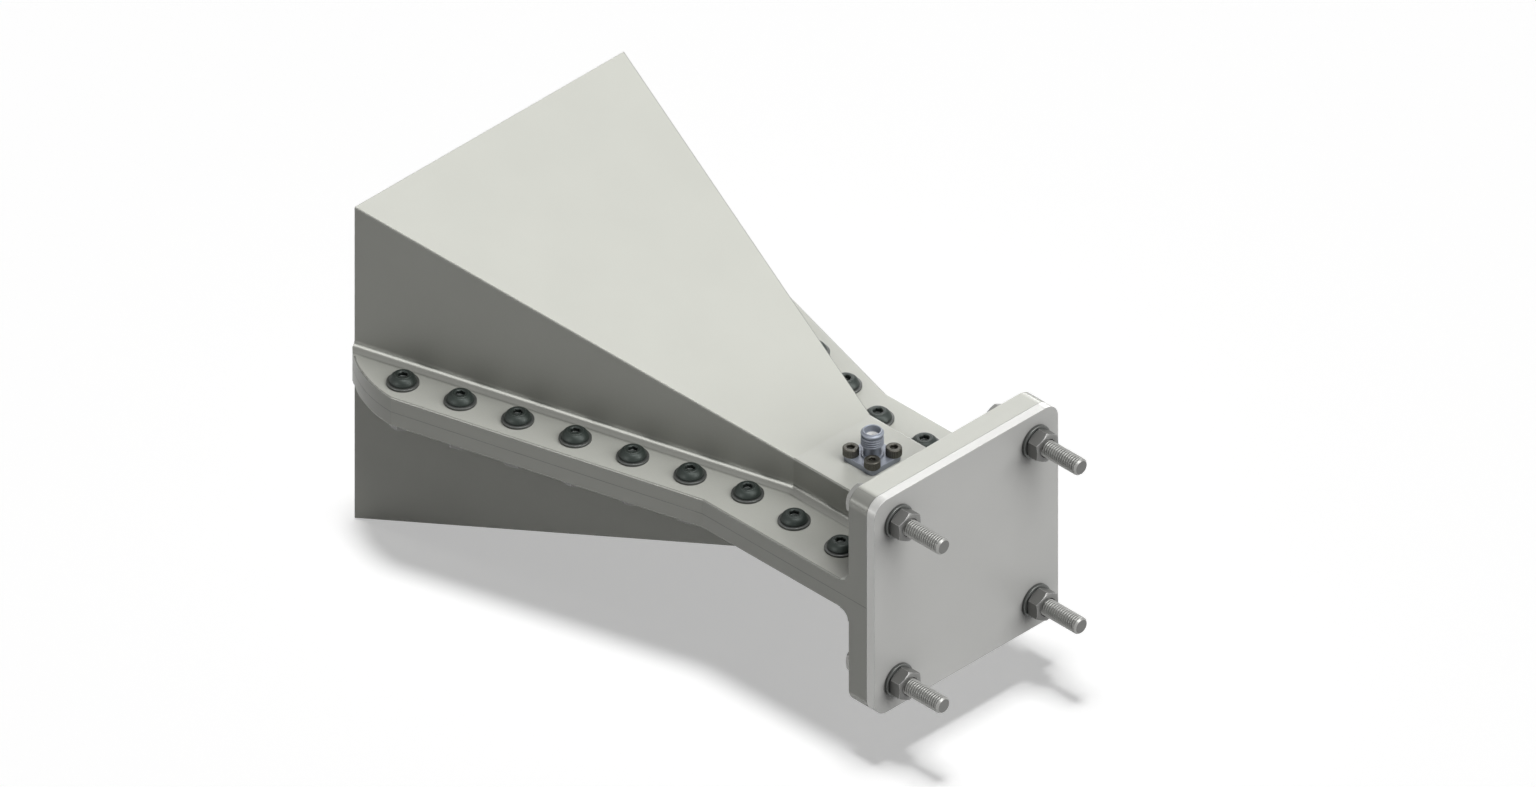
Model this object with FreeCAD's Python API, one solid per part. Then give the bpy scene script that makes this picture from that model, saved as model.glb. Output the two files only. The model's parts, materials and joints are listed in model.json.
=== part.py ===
import FreeCAD, Part
import math
import os

from FreeCAD import Placement, Rotation, Vector

# Split-block pyramidal horn antenna with a coaxial feed. Millimetres.
# +X is the way the horn looks and +Z is up. The origin is the centre of the horn's mouth.
# Left is +Y and right is -Y. The block parts into two halves at z = 0.

# Flared horn and straight guide
mouth_side = 102.8
mouth_wall = 2.0
flare_length = 130.6
guide_length = 41.0
bore_width = 22.86
bore_height = 10.16
guide_side_wall = 3.175
guide_cover_wall = 10.16
long_edge_radius = 0.5
throat_blend_radius = 3.0

# Square rear flange and back plate
rear_side = 70.0
rear_corner_radius = 4.8
rear_flange_thickness = 7.1
rear_edge_radius = 0.5
back_plate_thickness = 3.0

# Seam flanges along both sides of the horn, sizes of one half
seam_flange_thickness = 4.7
seam_flange_reach = 15.8
seam_fillet_radius = 3.0
nose_length = 23.1
nose_width = 0.85
bend_before_throat = 14.4

# Seam screws, M4 button heads with a flat washer above and below and a nut
seam_screws_per_side = 9
straight_seam_screws = 3
seam_pitch = 17.75
seam_row_from_guide = 10.2
last_seam_screw_from_flange = 12.9
seam_thread = 4.0
seam_clearance_hole = 4.3
seam_head_diameter = 7.6
seam_head_height = 2.2
seam_head_lip = 0.4
seam_head_flat = 4.6
seam_head_crown = 0.25
seam_socket = 2.5
seam_socket_depth = 1.3
seam_washer_diameter = 9.0
seam_washer_thickness = 0.8
seam_nut_size = 7.0
seam_nut_height = 3.2
seam_screw_inside_nut = 0.2

# Rear bolts, M5 hexagon heads with flat and lock washers, and flat washers and nuts behind the plate
rear_bolt_spacing = 52.4
rear_thread = 5.0
rear_clearance_hole = 5.3
rear_head_size = 8.0
rear_head_height = 3.5
rear_washer_diameter = 10.0
rear_washer_thickness = 1.0
lock_washer_diameter = 9.2
lock_washer_thickness = 1.2
lock_washer_gap = 1.0
rear_nut_size = 8.0
rear_nut_height = 4.0
rear_free_thread = 12.7
thread_end_chamfer = 0.5

# Coaxial jack on top of the guide, heights above the guide's top
probe_from_plate = 32.8
probe_depth = 5.7
jack_flange_side = 11.5
jack_flange_thickness = 1.8
jack_flange_corner = 1.2
jack_screw_spacing = 8.2
jack_boss_diameter = 6.2
jack_boss_height = 0.4
jack_neck_diameter = 4.9
jack_barrel_diameter = 6.35
jack_barrel_foot = 5.2
jack_groove_foot = 8.0
jack_groove_diameter = 5.4
jack_collar_foot = 8.7
jack_collar_height = 0.45
jack_collar_chamfer = 0.4
jack_rim_diameter = 5.35
jack_height = 9.85
jack_rim_bore = 4.5
insulator_diameter = 4.1
insulator_below_rim = 1.9
contact_diameter = 1.27
contact_below_insulator = 0.1
contact_socket_diameter = 0.94
contact_socket_depth = 3.0

# Connector screws, M2.5 socket caps
jack_screw_thread = 2.5
jack_screw_clearance_hole = 2.6
jack_screw_head_diameter = 4.5
jack_screw_head_height = 2.5
jack_screw_head_chamfer = 0.25
jack_screw_socket = 2.0
jack_screw_socket_depth = 1.1
jack_screw_grip = 4.2
tapped_hole_spare_depth = 1.0

# Fits and fastener forms
thread_clearance = 0.02
sleeve_clearance = 0.02
nut_chamfer_angle = 30.0
nut_face_share = 0.95
seam_nut_turn = 30.0
lock_washer_gap_turn = 30.0
overlap = 1.0
same_place = 0.001

# Places worked out from the sizes
mouth_half = mouth_side / 2
guide_half_width = bore_width / 2 + guide_side_wall
guide_half_height = bore_height / 2 + guide_cover_wall
throat_x = -flare_length
flange_x = throat_x - guide_length
plate_x = flange_x - rear_flange_thickness
rear_x = plate_x - back_plate_thickness
probe_x = plate_x + probe_from_plate
flare_angle = math.atan2(mouth_half - guide_half_width, flare_length)
seam_row_y = guide_half_width + seam_row_from_guide
lower_seam_nut_z = -seam_flange_thickness - seam_washer_thickness - seam_nut_height
rear_seat_x = flange_x + rear_washer_thickness + lock_washer_thickness
rear_nut_x = rear_x - rear_washer_thickness - rear_nut_height
jack_screw_length = jack_flange_thickness + jack_screw_grip
insulator_top = jack_height - insulator_below_rim
contact_top = insulator_top - contact_below_insulator
UP = Vector(0, 0, 1)


def wall_y(x):
    """Outer half width of the flared horn at x."""
    return mouth_half + x * (mouth_half - guide_half_width) / flare_length


def cylinder(diameter, low, high, x=0.0, y=0.0):
    """A cylinder along Z between two heights."""
    return Part.makeCylinder(diameter / 2, high - low, Vector(x, y, low), UP)


def cylinder_along_x(diameter, low, high, y=0.0, z=0.0):
    """A cylinder along X between two places."""
    return Part.makeCylinder(diameter / 2, high - low, Vector(low, y, z), Vector(1, 0, 0))


def turned(points):
    """A solid of revolution about Z from points given as radius and height."""
    corners = [Vector(radius, 0, height) for radius, height in points]
    face = Part.Face(Part.makePolygon(corners + [corners[0]]))
    return face.revolve(Vector(0, 0, 0), UP, 360)


def arc(centre, radius, start_angle, end_angle, lift):
    """An arc edge round centre, with lift turning plane points into space points."""
    points = []
    for angle in (start_angle, (start_angle + end_angle) / 2, end_angle):
        u = centre[0] + radius * math.cos(math.radians(angle))
        v = centre[1] + radius * math.sin(math.radians(angle))
        points.append(lift(u, v))
    return Part.Arc(*points).toShape()


def rounded_rectangle(half_u, half_v, radius, lift):
    """A wire of four sides and four corner arcs."""
    centres = ((half_u - radius, half_v - radius), (radius - half_u, half_v - radius),
               (radius - half_u, radius - half_v), (half_u - radius, radius - half_v))
    arcs = [arc(centre, radius, 90 * i, 90 * i + 90, lift) for i, centre in enumerate(centres)]
    edges = []
    for i, corner in enumerate(arcs):
        following = arcs[(i + 1) % 4]
        edges.append(corner)
        edges.append(Part.LineSegment(corner.Vertexes[-1].Point, following.Vertexes[0].Point).toShape())
    return Part.Wire(edges)


def across_x(x):
    """Lifts plane points (y, z) onto the plane at x."""
    return lambda y, z: Vector(x, y, z)


def square_plate(low_x, thickness):
    """The square outline of the rear flange and the back plate, from low_x forwards."""
    outline = rounded_rectangle(rear_side / 2, rear_side / 2, rear_corner_radius, across_x(low_x))
    return Part.Face(outline).extrude(Vector(thickness, 0, 0))


def edges_at(shape, points):
    """The edges of a shape that pass through any of the points."""
    found = []
    for edge in shape.Edges:
        if any(edge.distToShape(Part.Vertex(point))[0] < same_place for point in points):
            found.append(edge)
    return found


def mirrored_y(shape):
    """The shape on the other side of the horn."""
    return shape.mirror(Vector(0, 0, 0), Vector(0, 1, 0))


def mirrored_z(shape):
    """The shape on the other side of the parting plane."""
    return shape.mirror(Vector(0, 0, 0), Vector(0, 0, 1))


# Horn and guide
def flared_profile(mouth, throat, front_x, back_x, blend):
    """Upper half of a flared outline as edges in the plane of x and height, from front_x to back_x.

    The heights at the mouth and the throat are given, and blend is the radius that joins flare and guide."""
    slope = (mouth - throat) / flare_length
    half_turn = math.atan(slope) / 2
    tangent = blend * math.tan(half_turn)
    front = (front_x, mouth + front_x * slope)
    flare_end = (throat_x + tangent * math.cos(2 * half_turn), throat + tangent * math.sin(2 * half_turn))
    guide_start = (throat_x - tangent, throat)
    middle = (throat_x - tangent + blend * math.sin(half_turn), throat + blend * (1 - math.cos(half_turn)))
    return front, flare_end, middle, guide_start, (back_x, throat)


def flared_prism(profile, lift, depth):
    """A prism whose section is the profile and its mirror image in the horn's axis."""
    edges = []
    for side in (1, -1):
        front, flare_end, middle, guide_start, back = [lift(x, side * height) for x, height in profile]
        edges.append(Part.LineSegment(front, flare_end).toShape())
        if (guide_start - flare_end).Length > same_place:
            edges.append(Part.Arc(flare_end, middle, guide_start).toShape())
        edges.append(Part.LineSegment(guide_start, back).toShape())
    for x, height in (profile[0], profile[-1]):
        edges.append(Part.LineSegment(lift(x, height), lift(x, -height)).toShape())
    wire = Part.Wire(Part.__sortEdges__(edges))
    prism = Part.Face(wire).extrude(depth)
    prism.translate(depth * -0.5)
    return prism


def flared_block(mouth_half_y, mouth_half_z, throat_half_y, throat_half_z, front_x, back_x, blend):
    """The block where a prism with the horn's plan crosses a prism with its side view."""
    depth = 2 * mouth_side
    plan = flared_prism(flared_profile(mouth_half_y, throat_half_y, front_x, back_x, blend),
                        lambda x, y: Vector(x, y, 0), Vector(0, 0, depth))
    side_view = flared_prism(flared_profile(mouth_half_z, throat_half_z, front_x, back_x, blend),
                             lambda x, z: Vector(x, 0, z), Vector(0, depth, 0))
    return plan.common(side_view)


def horn_skin():
    """The outer block of flare and guide, with small radii on its long edges."""
    block = flared_block(mouth_half, mouth_half, guide_half_width, guide_half_height,
                         0, flange_x - overlap, throat_blend_radius)
    long_edges = [edge for edge in block.Edges if edge.BoundBox.XLength > same_place]
    return block.makeFillet(long_edge_radius, long_edges)


def horn_cavity():
    """The flared hollow and the bore of the guide, open at both ends."""
    inner = mouth_half - mouth_wall
    return flared_block(inner, inner, bore_width / 2, bore_height / 2, overlap, plate_x - overlap, 0)


# Seam flanges
def seam_outline():
    """The plan of the left seam flange, its outer path first, closed inside the horn's wall."""
    nose_y = mouth_half + nose_width
    corner = Vector(-nose_length, wall_y(-nose_length) + seam_flange_reach, 0)
    swell = corner.y - nose_y
    radius = (nose_length ** 2 + swell ** 2) / (2 * swell)
    opening = math.degrees(math.asin(nose_length / radius))
    nose = arc((corner.x, corner.y - radius), radius, 90 - opening, 90, lambda x, y: Vector(x, y, 0))
    sink = mouth_wall / 2
    path = [corner,
            Vector(throat_x + bend_before_throat, rear_side / 2, 0),
            Vector(flange_x - overlap, rear_side / 2, 0),
            Vector(flange_x - overlap, guide_half_width - sink, 0),
            Vector(throat_x, guide_half_width - sink, 0),
            Vector(0, mouth_half - sink, 0),
            Vector(0, nose_y, 0)]
    lines = [Part.LineSegment(a, b).toShape() for a, b in zip(path, path[1:])]
    return [nose] + lines


def fillet_strip(start, direction, away, length):
    """A strip that rounds the corner between a flange lying on top of z = 0 and a wall, one way up."""
    radius = seam_fillet_radius
    sink = mouth_wall / 2

    def lift(u, v):
        return start + away * u + Vector(0, 0, seam_flange_thickness + v)

    round_edge = arc((radius, radius), radius, 180, 270, lift)
    corners = [lift(radius, 0), lift(radius, -sink), lift(-sink, -sink), lift(-sink, radius), lift(0, radius)]
    lines = [Part.LineSegment(a, b).toShape() for a, b in zip(corners, corners[1:])]
    section = Part.Face(Part.Wire([round_edge] + lines))
    return section.extrude(direction * length)


def seam_flange():
    """The left seam flange of both halves with its fillets, before the parting cut."""
    outline = seam_outline()
    plan = Part.Face(Part.Wire(outline))
    slab = plan.extrude(Vector(0, 0, 2 * seam_flange_thickness))
    slab.translate(Vector(0, 0, -seam_flange_thickness))
    middles = [edge.valueAt((edge.FirstParameter + edge.LastParameter) / 2) for edge in outline[:3]]
    rims = [Vector(p.x, p.y, side * seam_flange_thickness) for p in middles for side in (1, -1)]
    slab = slab.makeFillet(long_edge_radius, edges_at(slab, rims))

    along_flare = Vector(-math.cos(flare_angle), -math.sin(flare_angle), 0)
    off_flare = Vector(-math.sin(flare_angle), math.cos(flare_angle), 0)
    lap = seam_fillet_radius * math.tan(flare_angle)
    mouth_corner = Vector(0, mouth_half, 0)
    throat_corner = Vector(throat_x, guide_half_width, 0)
    flare_run = throat_corner.sub(mouth_corner).Length
    on_flare = fillet_strip(mouth_corner - along_flare * lap, along_flare, off_flare, flare_run + 2 * lap)
    on_guide = fillet_strip(throat_corner + Vector(lap, 0, 0), Vector(-1, 0, 0), Vector(0, 1, 0),
                            guide_length + lap)
    inner_y = guide_half_width - mouth_wall / 2
    at_rear = fillet_strip(Vector(flange_x, inner_y, 0), Vector(0, 1, 0), Vector(1, 0, 0),
                           rear_side / 2 - inner_y)
    reach = seam_flange_thickness + seam_fillet_radius
    column = plan.extrude(Vector(0, 0, reach))
    strips = [strip.common(column) for strip in (on_flare, on_guide)] + [at_rear]
    return slab.multiFuse(strips + [mirrored_z(strip) for strip in strips])


def seam_places():
    """The seam screws of the left side, from the rear flange to the mouth, as (x, y)."""
    places = []
    x = flange_x + last_seam_screw_from_flange
    y = seam_row_y
    for i in range(seam_screws_per_side):
        places.append((x, y))
        turn = flare_angle if i >= straight_seam_screws - 1 else 0.0
        x += seam_pitch * math.cos(turn)
        y += seam_pitch * math.sin(turn)
    return places


def rear_places():
    """The rear bolts by name, as (y, z)."""
    half = rear_bolt_spacing / 2
    return {"upper_left": (half, half), "upper_right": (-half, half),
            "lower_left": (half, -half), "lower_right": (-half, -half)}


def jack_screw_places():
    """The connector screws, as (x, y)."""
    half = jack_screw_spacing / 2
    return [(probe_x + sx * half, sy * half) for sx in (1, -1) for sy in (1, -1)]


def corner_edges(flange):
    """The four corner arcs of the rear flange's front rim."""
    reach = rear_side / 2 - rear_corner_radius * (1 - math.sqrt(0.5))
    return edges_at(flange, [Vector(flange_x, sy * reach, sz * reach) for sy in (1, -1) for sz in (1, -1)])


def horn_halves():
    """The upper and the lower half, milled and drilled."""
    flange = square_plate(plate_x, rear_flange_thickness)
    front_rim = [Vector(flange_x, 0, rear_side / 2), Vector(flange_x, 0, -rear_side / 2),
                 Vector(flange_x, rear_side / 2, 0), Vector(flange_x, -rear_side / 2, 0)]
    flange = flange.makeFillet(rear_edge_radius, edges_at(flange, front_rim) + corner_edges(flange))
    left = seam_flange()
    block = horn_skin().multiFuse([flange, left, mirrored_y(left)])
    block = block.cut(horn_cavity())

    deep = seam_flange_thickness + seam_fillet_radius + overlap
    holes = [cylinder(seam_clearance_hole, -deep, deep, x, side * y)
             for x, y in seam_places() for side in (1, -1)]
    holes += [cylinder_along_x(rear_clearance_hole, plate_x - overlap, flange_x + overlap, y, z)
              for y, z in rear_places().values()]
    sleeve_hole = insulator_diameter + 2 * sleeve_clearance
    holes.append(cylinder(sleeve_hole, 0, guide_half_height + overlap, probe_x))
    tapped = jack_screw_thread + 2 * thread_clearance
    floor = guide_half_height - jack_screw_grip - tapped_hole_spare_depth
    holes += [cylinder(tapped, floor, guide_half_height + overlap, x, y) for x, y in jack_screw_places()]
    block = block.cut(Part.makeCompound(holes)).removeSplitter()

    length = mouth_half - rear_x
    above = Part.makeBox(length, 2 * mouth_side, mouth_side, Vector(rear_x, -mouth_side, 0))
    return block.common(above), block.common(mirrored_z(above))


def back_plate():
    """The plate that closes the guide."""
    plate = square_plate(rear_x, back_plate_thickness)
    for y, z in rear_places().values():
        plate = plate.cut(cylinder_along_x(rear_clearance_hole, rear_x - overlap, plate_x + overlap, y, z))
    return plate


# Fasteners, each standing on z = 0 with its axis along Z
def hexagon(across_flats, low, high, corner_angle=0.0):
    """A hexagonal prism with one corner at corner_angle from +X."""
    radius = across_flats / math.sqrt(3)
    corners = []
    for i in range(6):
        angle = math.radians(corner_angle + 60 * i)
        corners.append(Vector(radius * math.cos(angle), radius * math.sin(angle), low))
    return Part.Face(Part.makePolygon(corners + [corners[0]])).extrude(Vector(0, 0, high - low))


def chamfered_hexagon(across_flats, height, both_ends):
    """A hexagon with its corners chamfered at the top, and at the bottom too for a nut."""
    face_radius = nut_face_share * across_flats / 2
    wide = across_flats / math.sqrt(3) + overlap
    drop = (wide - face_radius) * math.tan(math.radians(nut_chamfer_angle))
    foot = [(0, 0), (face_radius, 0), (wide, drop)] if both_ends else [(0, 0), (wide, 0)]
    blank = turned(foot + [(wide, height - drop), (face_radius, height), (0, height)])
    return hexagon(across_flats, 0, height).common(blank)


def flat_washer(diameter, hole, thickness):
    """A plain ring."""
    return cylinder(diameter, 0, thickness).cut(cylinder(hole, -overlap, thickness + overlap))


def lock_washer():
    """A split spring washer, pressed flat."""
    ring = flat_washer(lock_washer_diameter, rear_clearance_hole, lock_washer_thickness)
    slot = Part.makeBox(lock_washer_diameter, lock_washer_gap, lock_washer_thickness + 2 * overlap,
                        Vector(0, -lock_washer_gap / 2, -overlap))
    slot.rotate(Vector(0, 0, 0), UP, lock_washer_gap_turn)
    return ring.cut(slot)


def nut(across_flats, height, thread):
    """A hexagon nut."""
    hole = cylinder(thread + 2 * thread_clearance, -overlap, height + overlap)
    return chamfered_hexagon(across_flats, height, True).cut(hole)


def shank(thread, length, free_length=0.0):
    """A screw's shank below z = 0, with its end chamfered.

    An edge parts the thread where it leaves its nut, so that a free length is a face of its own."""
    radius = thread / 2
    tip = radius - thread_end_chamfer
    outline = [(0, 0), (0, -length), (tip, -length), (radius, thread_end_chamfer - length)]
    if free_length > thread_end_chamfer:
        outline.append((radius, free_length - length))
    return turned(outline + [(radius, 0)])


def seam_screw():
    """A button-head screw with a hexagon socket."""
    rim = Vector(seam_head_diameter / 2, 0, seam_head_lip)
    crown = Vector(seam_head_flat / 2, 0, seam_head_height)
    chord = crown.sub(rim)
    outward = Vector(chord.z, 0, -chord.x).normalize()
    middle = (rim + crown) * 0.5 + outward * seam_head_crown
    foot = Vector(rim.x, 0, 0)
    top = Vector(0, 0, seam_head_height)
    base = Vector(0, 0, 0)
    edges = [Part.LineSegment(base, foot).toShape(), Part.LineSegment(foot, rim).toShape(),
             Part.Arc(rim, middle, crown).toShape(),
             Part.LineSegment(crown, top).toShape(), Part.LineSegment(top, base).toShape()]
    head = Part.Face(Part.Wire(edges)).revolve(base, UP, 360)
    head = head.cut(hexagon(seam_socket, seam_head_height - seam_socket_depth, seam_head_height + overlap))
    length = 2 * (seam_flange_thickness + seam_washer_thickness) + seam_nut_height - seam_screw_inside_nut
    return head.fuse(shank(seam_thread, length)).removeSplitter()


def jack_screw():
    """A socket-cap screw."""
    radius = jack_screw_head_diameter / 2
    height = jack_screw_head_height
    chamfer = jack_screw_head_chamfer
    head = turned([(0, 0), (radius, 0), (radius, height - chamfer), (radius - chamfer, height), (0, height)])
    head = head.cut(hexagon(jack_screw_socket, height - jack_screw_socket_depth, height + overlap))
    return head.fuse(cylinder(jack_screw_thread, -jack_screw_length, 0)).removeSplitter()


def rear_bolt():
    """A hexagon-head bolt, its head above z = 0."""
    length = rear_seat_x - rear_nut_x + rear_free_thread
    head = chamfered_hexagon(rear_head_size, rear_head_height, False)
    return shank(rear_thread, length, rear_free_thread).fuse(head)


# Placing
def standing(piece, x, y, z, turn=0.0):
    """A copy of a piece with its axis up, its foot at z and turned about its axis."""
    copy = piece.copy()
    copy.Placement = Placement(Vector(x, y, z), Rotation(UP, turn))
    return copy


def facing_forward(piece, x, y, z):
    """A copy of a piece with its own Z turned to +X and a hexagon corner up."""
    copy = piece.copy()
    copy.Placement = Placement(Vector(x, y, z), Rotation(Vector(0, 1, 0), 90))
    return copy


def seam_row(piece, z, side, turn=0.0):
    """The piece at every seam screw of one side."""
    return Part.makeCompound([standing(piece, x, side * y, z, turn) for x, y in seam_places()])


def rear_set(piece, x):
    """The piece at every rear bolt."""
    return Part.makeCompound([facing_forward(piece, x, y, z) for y, z in rear_places().values()])


# Coaxial jack
def jack_body():
    """Flange, boss, neck, barrel, groove, collar and rim in one piece, bored for the insulator."""
    foot = guide_half_height
    seat = foot + jack_flange_thickness
    outline = rounded_rectangle(jack_flange_side / 2, jack_flange_side / 2, jack_flange_corner,
                                lambda x, y: Vector(probe_x + x, y, foot))
    body = Part.Face(outline).extrude(Vector(0, 0, jack_flange_thickness))
    for x, y in jack_screw_places():
        body = body.cut(cylinder(jack_screw_clearance_hole, foot - overlap, seat + overlap, x, y))
    sleeve = insulator_diameter / 2 + sleeve_clearance
    barrel = jack_barrel_diameter / 2
    groove = jack_groove_diameter / 2
    neck = jack_neck_diameter / 2
    boss = jack_boss_diameter / 2
    boss_top = jack_flange_thickness + jack_boss_height
    collar_top = jack_collar_foot + jack_collar_height
    rim = jack_rim_diameter / 2
    stem = turned([(sleeve, 0), (boss, 0), (boss, boss_top), (neck, boss_top), (neck, jack_barrel_foot),
                   (barrel, jack_barrel_foot), (barrel, jack_groove_foot), (groove, jack_groove_foot),
                   (groove, jack_collar_foot), (barrel, jack_collar_foot), (barrel, collar_top),
                   (rim, collar_top + jack_collar_chamfer), (rim, jack_height),
                   (jack_rim_bore / 2, jack_height), (jack_rim_bore / 2, insulator_top),
                   (sleeve, insulator_top)])
    stem.translate(Vector(probe_x, 0, foot))
    hole = cylinder(2 * sleeve, foot - overlap, seat + overlap, probe_x)
    return body.cut(hole).fuse(stem).removeSplitter()


def insulator():
    """The sleeve from the jack's bore down to the guide's ceiling."""
    low = bore_height / 2
    high = guide_half_height + insulator_top
    core = cylinder(contact_diameter + 2 * sleeve_clearance, low - overlap, high + overlap, probe_x)
    return cylinder(insulator_diameter, low, high, probe_x).cut(core)


def centre_contact():
    """The pin from the jack's socket down to the probe's end in the guide."""
    low = bore_height / 2 - probe_depth
    high = guide_half_height + contact_top
    socket = cylinder(contact_socket_diameter, high - contact_socket_depth, high + overlap, probe_x)
    return cylinder(contact_diameter, low, high, probe_x).cut(socket)


def build():
    """All nodes by name."""
    upper, lower = horn_halves()
    nodes = {"upper_horn_half": upper, "lower_horn_half": lower, "back_plate": back_plate()}

    seam_washer = flat_washer(seam_washer_diameter, seam_clearance_hole, seam_washer_thickness)
    screw = seam_screw()
    seam_nut = nut(seam_nut_size, seam_nut_height, seam_thread)
    seat = seam_flange_thickness + seam_washer_thickness
    for name, side in (("left", 1), ("right", -1)):
        nodes[name + "_seam_screws"] = seam_row(screw, seat, side)
        nodes[name + "_head_washers"] = seam_row(seam_washer, seam_flange_thickness, side)
        nodes[name + "_nut_washers"] = seam_row(seam_washer, -seat, side)
        nodes[name + "_seam_nuts"] = seam_row(seam_nut, lower_seam_nut_z, side, seam_nut_turn)

    bolt = rear_bolt()
    rear_nut = nut(rear_nut_size, rear_nut_height, rear_thread)
    for name, (y, z) in rear_places().items():
        nodes["rear_bolt_" + name] = facing_forward(bolt, rear_seat_x, y, z)
        nodes["rear_nut_" + name] = facing_forward(rear_nut, rear_nut_x, y, z)
    rear_washer = flat_washer(rear_washer_diameter, rear_clearance_hole, rear_washer_thickness)
    nodes["bolt_washers"] = rear_set(rear_washer, flange_x)
    nodes["lock_washers"] = rear_set(lock_washer(), flange_x + rear_washer_thickness)
    nodes["plate_washers"] = rear_set(rear_washer, rear_x - rear_washer_thickness)

    cap_screw = jack_screw()
    seat = guide_half_height + jack_flange_thickness
    nodes["jack_body"] = jack_body()
    nodes["jack_insulator"] = insulator()
    nodes["jack_centre_contact"] = centre_contact()
    cap_screws = [standing(cap_screw, x, y, seat) for x, y in jack_screw_places()]
    nodes["jack_screws"] = Part.makeCompound(cap_screws)
    return nodes


os.makedirs("parts", exist_ok=True)
for node_name, node_shape in build().items():
    node_shape.exportStep("parts/" + node_name + ".step")
    print(node_name, len(node_shape.Solids), node_shape.isValid(), round(node_shape.Volume, 1))
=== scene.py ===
"""Looks of a split pyramidal horn antenna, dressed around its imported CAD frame.

Lengths are in metres. +X is the way the horn looks, +Y is its left side and +Z is up. The origin is
the centre of the horn's mouth.
"""

from __future__ import annotations

import json
import logging
import math
from collections.abc import Callable, Iterable
from dataclasses import dataclass, field
from enum import Enum

import bmesh
import bpy
from mathutils import Matrix, Vector

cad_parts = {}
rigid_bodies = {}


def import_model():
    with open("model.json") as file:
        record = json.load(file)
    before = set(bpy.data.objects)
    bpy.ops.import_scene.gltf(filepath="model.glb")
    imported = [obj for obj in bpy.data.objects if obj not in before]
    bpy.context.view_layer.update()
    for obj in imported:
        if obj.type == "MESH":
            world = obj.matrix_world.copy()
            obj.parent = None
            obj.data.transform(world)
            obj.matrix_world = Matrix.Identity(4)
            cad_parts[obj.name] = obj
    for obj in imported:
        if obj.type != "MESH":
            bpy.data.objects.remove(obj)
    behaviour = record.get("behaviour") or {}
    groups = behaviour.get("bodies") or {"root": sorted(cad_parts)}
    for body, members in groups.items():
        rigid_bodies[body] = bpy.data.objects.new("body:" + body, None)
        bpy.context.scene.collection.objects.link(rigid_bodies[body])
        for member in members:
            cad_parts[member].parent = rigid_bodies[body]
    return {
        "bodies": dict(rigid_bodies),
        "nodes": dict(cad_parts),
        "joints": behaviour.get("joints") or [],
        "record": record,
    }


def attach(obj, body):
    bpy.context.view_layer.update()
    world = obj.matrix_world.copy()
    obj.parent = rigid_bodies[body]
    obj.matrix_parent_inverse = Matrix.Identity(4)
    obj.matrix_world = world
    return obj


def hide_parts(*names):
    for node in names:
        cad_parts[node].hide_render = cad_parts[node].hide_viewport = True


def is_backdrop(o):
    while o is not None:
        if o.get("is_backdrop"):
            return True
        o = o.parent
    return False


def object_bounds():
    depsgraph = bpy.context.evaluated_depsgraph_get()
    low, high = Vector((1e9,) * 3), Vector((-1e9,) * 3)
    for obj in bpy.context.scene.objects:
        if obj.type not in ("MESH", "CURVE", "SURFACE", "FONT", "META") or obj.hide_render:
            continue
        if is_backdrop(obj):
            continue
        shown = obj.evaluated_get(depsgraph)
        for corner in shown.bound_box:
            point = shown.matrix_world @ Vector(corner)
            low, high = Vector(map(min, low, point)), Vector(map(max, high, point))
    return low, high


LOG = logging.getLogger("horn_antenna")
MM = 0.001
GOLDEN_TURN = math.radians(137.5)
WELD = 0.001 * MM  # corners nearer than this are one
BEYOND = 1.0 * MM  # how far a cutting solid stands out of what it cuts
NOISE_SPAN = (0.3, 0.7)  # where nearly all values of a noise pattern lie
WHITE = (1.0, 1.0, 1.0, 1.0)
BLACK = (0.0, 0.0, 0.0, 1.0)

Colour = tuple[float, float, float, float]
Socket = bpy.types.NodeSocket


def as_seen(red: float, green: float, blue: float) -> Colour:
    """Turns a colour as it is seen, from 0 to 255, into the linear colour that a shader takes.

    Args:
        red: Its red.
        green: Its green.
        blue: Its blue.

    Returns:
        The linear colour.
    """
    channels = [value / 255.0 for value in (red, green, blue)]
    linear = [c / 12.92 if c <= 0.04045 else ((c + 0.055) / 1.055) ** 2.4 for c in channels]
    return linear[0], linear[1], linear[2], 1.0


def scaled(tone: Colour, factor: float) -> Colour:
    """Makes a linear colour lighter or darker."""
    return min(1.0, tone[0] * factor), min(1.0, tone[1] * factor), min(1.0, tone[2] * factor), 1.0


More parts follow.
